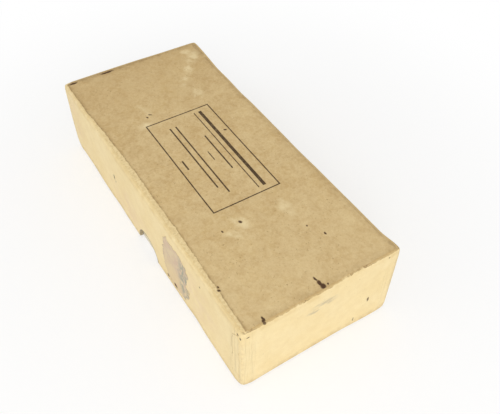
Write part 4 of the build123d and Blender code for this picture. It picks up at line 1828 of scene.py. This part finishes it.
@dataclass
class CareKit:
    """Tin of paste, folded polishing cloth and the envelope of tinted spare panes."""

    cloth_run: float = 23.95
    cloth_width: float = 35.2
    cloth_thickness: float = 1.2
    cloth_pitches: tuple[float, ...] = (1.75,) * 4
    cloth_end_shares: tuple[float, ...] = (0.0, 0.03, 0.0, 0.05)
    cloth_ease: float = 0.28
    grid: float = 3.0
    # The envelope's waves, how far they may reach towards the panes, and how far its flap stands off
    wave: float = 0.22
    wave_length: float = 17.0
    inward: float = 0.1
    flap_paper: float = 0.24
    flap_lift: float = 0.4

    def build(self) -> None:
        """Makes the cloth and the envelope and dresses the rest."""
        dress_nodes(TIN, "paste_tin_base", "paste_tin_lid")
        dress_nodes(PASTE, "paste_cake")
        dress_nodes(AMBER, "spare_pane_inner", "spare_pane_outer")
        low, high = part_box("polishing_cloth")
        middle = (low + high) / 2 / MM
        FoldedFabric(
            "polishing_cloth_cotton", "polishing_cloth", COTTON, (middle.x, middle.y, low.z / MM),
            self.cloth_run, 0.0, self.cloth_width, self.cloth_thickness,
            self.cloth_pitches, self.cloth_end_shares, self.cloth_ease,
        ).build()
        shape = merged_copy("spare_pane_envelope")
        cut_to_grid(shape, self.grid)
        self.crumple(shape)
        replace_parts(stand("spare_pane_envelope_manila", shape, ENVELOPE, Body.TRAY), "spare_pane_envelope")

    def crumple(self, shape: bmesh.types.BMesh) -> None:
        """Waves the envelope's paper and lets its flap stand off a little.

        Args:
            shape: The envelope's mesh.
        """
        low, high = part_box("spare_pane_envelope")
        for vertex in shape.verts:
            up = (vertex.co.z - low.z) / (high.z - low.z)
            wave = noise.noise_vector(vertex.co / (self.wave_length * MM)) * self.wave * MM
            wave.x = max(wave.x, -self.inward * MM) * min(1.0, 4 * up)
            wave.z *= 0.3 * up
            if vertex.co.x > high.x - self.flap_paper * MM:
                wave.x += self.flap_lift * MM * (1 - up) ** 2
            vertex.co += wave


# Camera, floor and light


@dataclass(frozen=True)
class Softbox:
    """Square softbox that faces the carton: its place and side in metres, its watts and its colour."""

    name: str
    place: Triple
    size: float
    power: float
    colour: str

    def hang(self) -> None:
        """Hangs it in the scene."""
        lamp = bpy.data.lights.new(self.name, "AREA")
        lamp.shape = "SQUARE"
        lamp.size = self.size
        lamp.energy = self.power
        lamp.color = linear(self.colour)[:3]
        holder = bpy.data.objects.new(self.name, lamp)
        holder.location = self.place
        holder.rotation_euler = (-Vector(self.place)).to_track_quat("-Z", "Y").to_euler()
        bpy.context.scene.collection.objects.link(holder)


@dataclass
class Studio:
    """Camera of the fitted view, white floor that keeps a soft shadow, and soft lamps."""

    place: Triple = (226.70, -121.69, 293.83)
    aim: Triple = (5.494, 23.272, 0.0)
    roll: float = 1.0546
    lens: float = 44.177
    sensor: float = 36.0
    white: str = "#FFFFFF"
    floor_white: str = "#FAFAFA"
    floor_half: float = 4.0
    floor_drop: float = 0.05
    sky: float = 0.67
    # Share of the floor's glow beside the carton, and from where to where it rises to all, in metres
    floor_glow: float = 0.5
    shadow_reach: tuple[float, float] = (0.09, 0.31)
    lamps: tuple[Softbox, ...] = (
        Softbox("key_softbox", (1.15, -0.62, 1.05), 0.9, 13.0, "#FFFCF7"),
        Softbox("side_softbox", (-0.35, -1.3, 0.75), 0.8, 1.3, "#F8FAFF"),
    )

    def build(self) -> None:
        """Makes all of it."""
        self.aim_camera()
        self.lay_floor()
        self.light_sky()
        for lamp in self.lamps:
            lamp.hang()

    def aim_camera(self) -> None:
        """Sets the camera as the fit of the photographed carton's corners gave it."""
        camera = bpy.data.cameras.new("view_camera")
        camera.lens = self.lens
        camera.sensor_width = self.sensor
        camera.sensor_fit = "HORIZONTAL"
        camera.clip_start = 0.01
        camera.clip_end = 30.0
        holder = bpy.data.objects.new("view_camera", camera)
        towards = (Vector(self.aim) - Vector(self.place)).to_track_quat("-Z", "Y").to_matrix().to_4x4()
        rolled = towards @ Matrix.Rotation(math.radians(self.roll), 4, "Z")
        holder.matrix_world = Matrix.Translation(Vector(self.place) * MM) @ rolled
        bpy.context.scene.collection.objects.link(holder)
        bpy.context.scene.camera = holder

    def white_share(self, tree: bpy.types.NodeTree) -> Socket:
        """Mask of the rays that see the background as white.

        Args:
            tree: Node tree that gets the nodes.

        Returns:
            1 for camera, glossy and transmission rays.
        """
        rays = add_node(tree, "ShaderNodeLightPath").outputs
        direct = {0: rays["Is Camera Ray"], 1: rays["Is Glossy Ray"]}
        seen = add_node(tree, "ShaderNodeMath", direct, operation="MAXIMUM").outputs[0]
        through = {0: seen, 1: rays["Is Transmission Ray"]}
        return add_node(tree, "ShaderNodeMath", through, operation="MAXIMUM").outputs[0]

    def lay_floor(self) -> None:
        """Lays a matt white floor whose glow for the camera leaves only a soft shadow."""
        shape = bmesh.new()
        bmesh.ops.create_grid(shape, x_segments=2, y_segments=2, size=self.floor_half)
        bmesh.ops.translate(shape, verts=shape.verts, vec=(0, 0, -self.floor_drop * MM))
        mesh = bpy.data.meshes.new("studio_floor")
        shape.to_mesh(mesh)
        shape.free()
        floor = bpy.data.objects.new("studio_floor", mesh)
        bpy.context.scene.collection.objects.link(floor)
        material = bpy.data.materials.new("matt_white_floor")
        material.use_nodes = True
        tree = material.node_tree
        tree.nodes.clear()
        matt = add_node(tree, "ShaderNodeBsdfDiffuse", {"Color": linear(self.floor_white)})
        glow = add_node(tree, "ShaderNodeEmission", {"Color": linear(self.white), "Strength": 1.0})
        place = add_node(tree, "ShaderNodeTexCoord").outputs["Object"]
        away = add_node(tree, "ShaderNodeVectorMath", {0: place}, operation="LENGTH").outputs[1]
        start, end = self.shadow_reach
        far = {"Value": away, "From Min": start, "From Max": end, "To Min": self.floor_glow, "To Max": 1.0}
        glowing = add_node(tree, "ShaderNodeMapRange", far, interpolation_type="SMOOTHSTEP").outputs[0]
        share = {0: self.white_share(tree), 1: glowing}
        factor = add_node(tree, "ShaderNodeMath", share, operation="MULTIPLY").outputs[0]
        mixed = add_node(tree, "ShaderNodeMixShader", {0: factor, 1: matt.outputs[0], 2: glow.outputs[0]})
        add_node(tree, "ShaderNodeOutputMaterial", {"Surface": mixed.outputs[0]})
        mesh.materials.append(material)

    def light_sky(self) -> None:
        """Lights the scene evenly, and shows white where the camera sees past the floor."""
        world = bpy.data.worlds.new("studio_sky")
        world.use_nodes = True
        tree = world.node_tree
        tree.nodes.clear()
        soft = add_node(tree, "ShaderNodeBackground", {"Color": linear(self.white), "Strength": self.sky})
        white = add_node(tree, "ShaderNodeBackground", {"Color": linear(self.white), "Strength": 1.0})
        mixed = {0: self.white_share(tree), 1: soft.outputs[0], 2: white.outputs[0]}
        shader = add_node(tree, "ShaderNodeMixShader", mixed)
        add_node(tree, "ShaderNodeOutputWorld", {"Surface": shader.outputs[0]})
        bpy.context.scene.world = world


def main() -> None:
    """Builds every sub-assembly in order."""
    logging.basicConfig(level=logging.INFO, format="%(message)s")
    noise.seed_set(WAVE_SEED)
    for part in (Lid(), Tray(), Goggles(), HeadStrap(), CareKit(), Studio()):
        part.build()
        LOG.info("finished %s", type(part).__name__)
    bpy.context.scene.view_settings.view_transform = "Standard"
    bpy.context.view_layer.update()


if __name__ == "__main__":
    main()
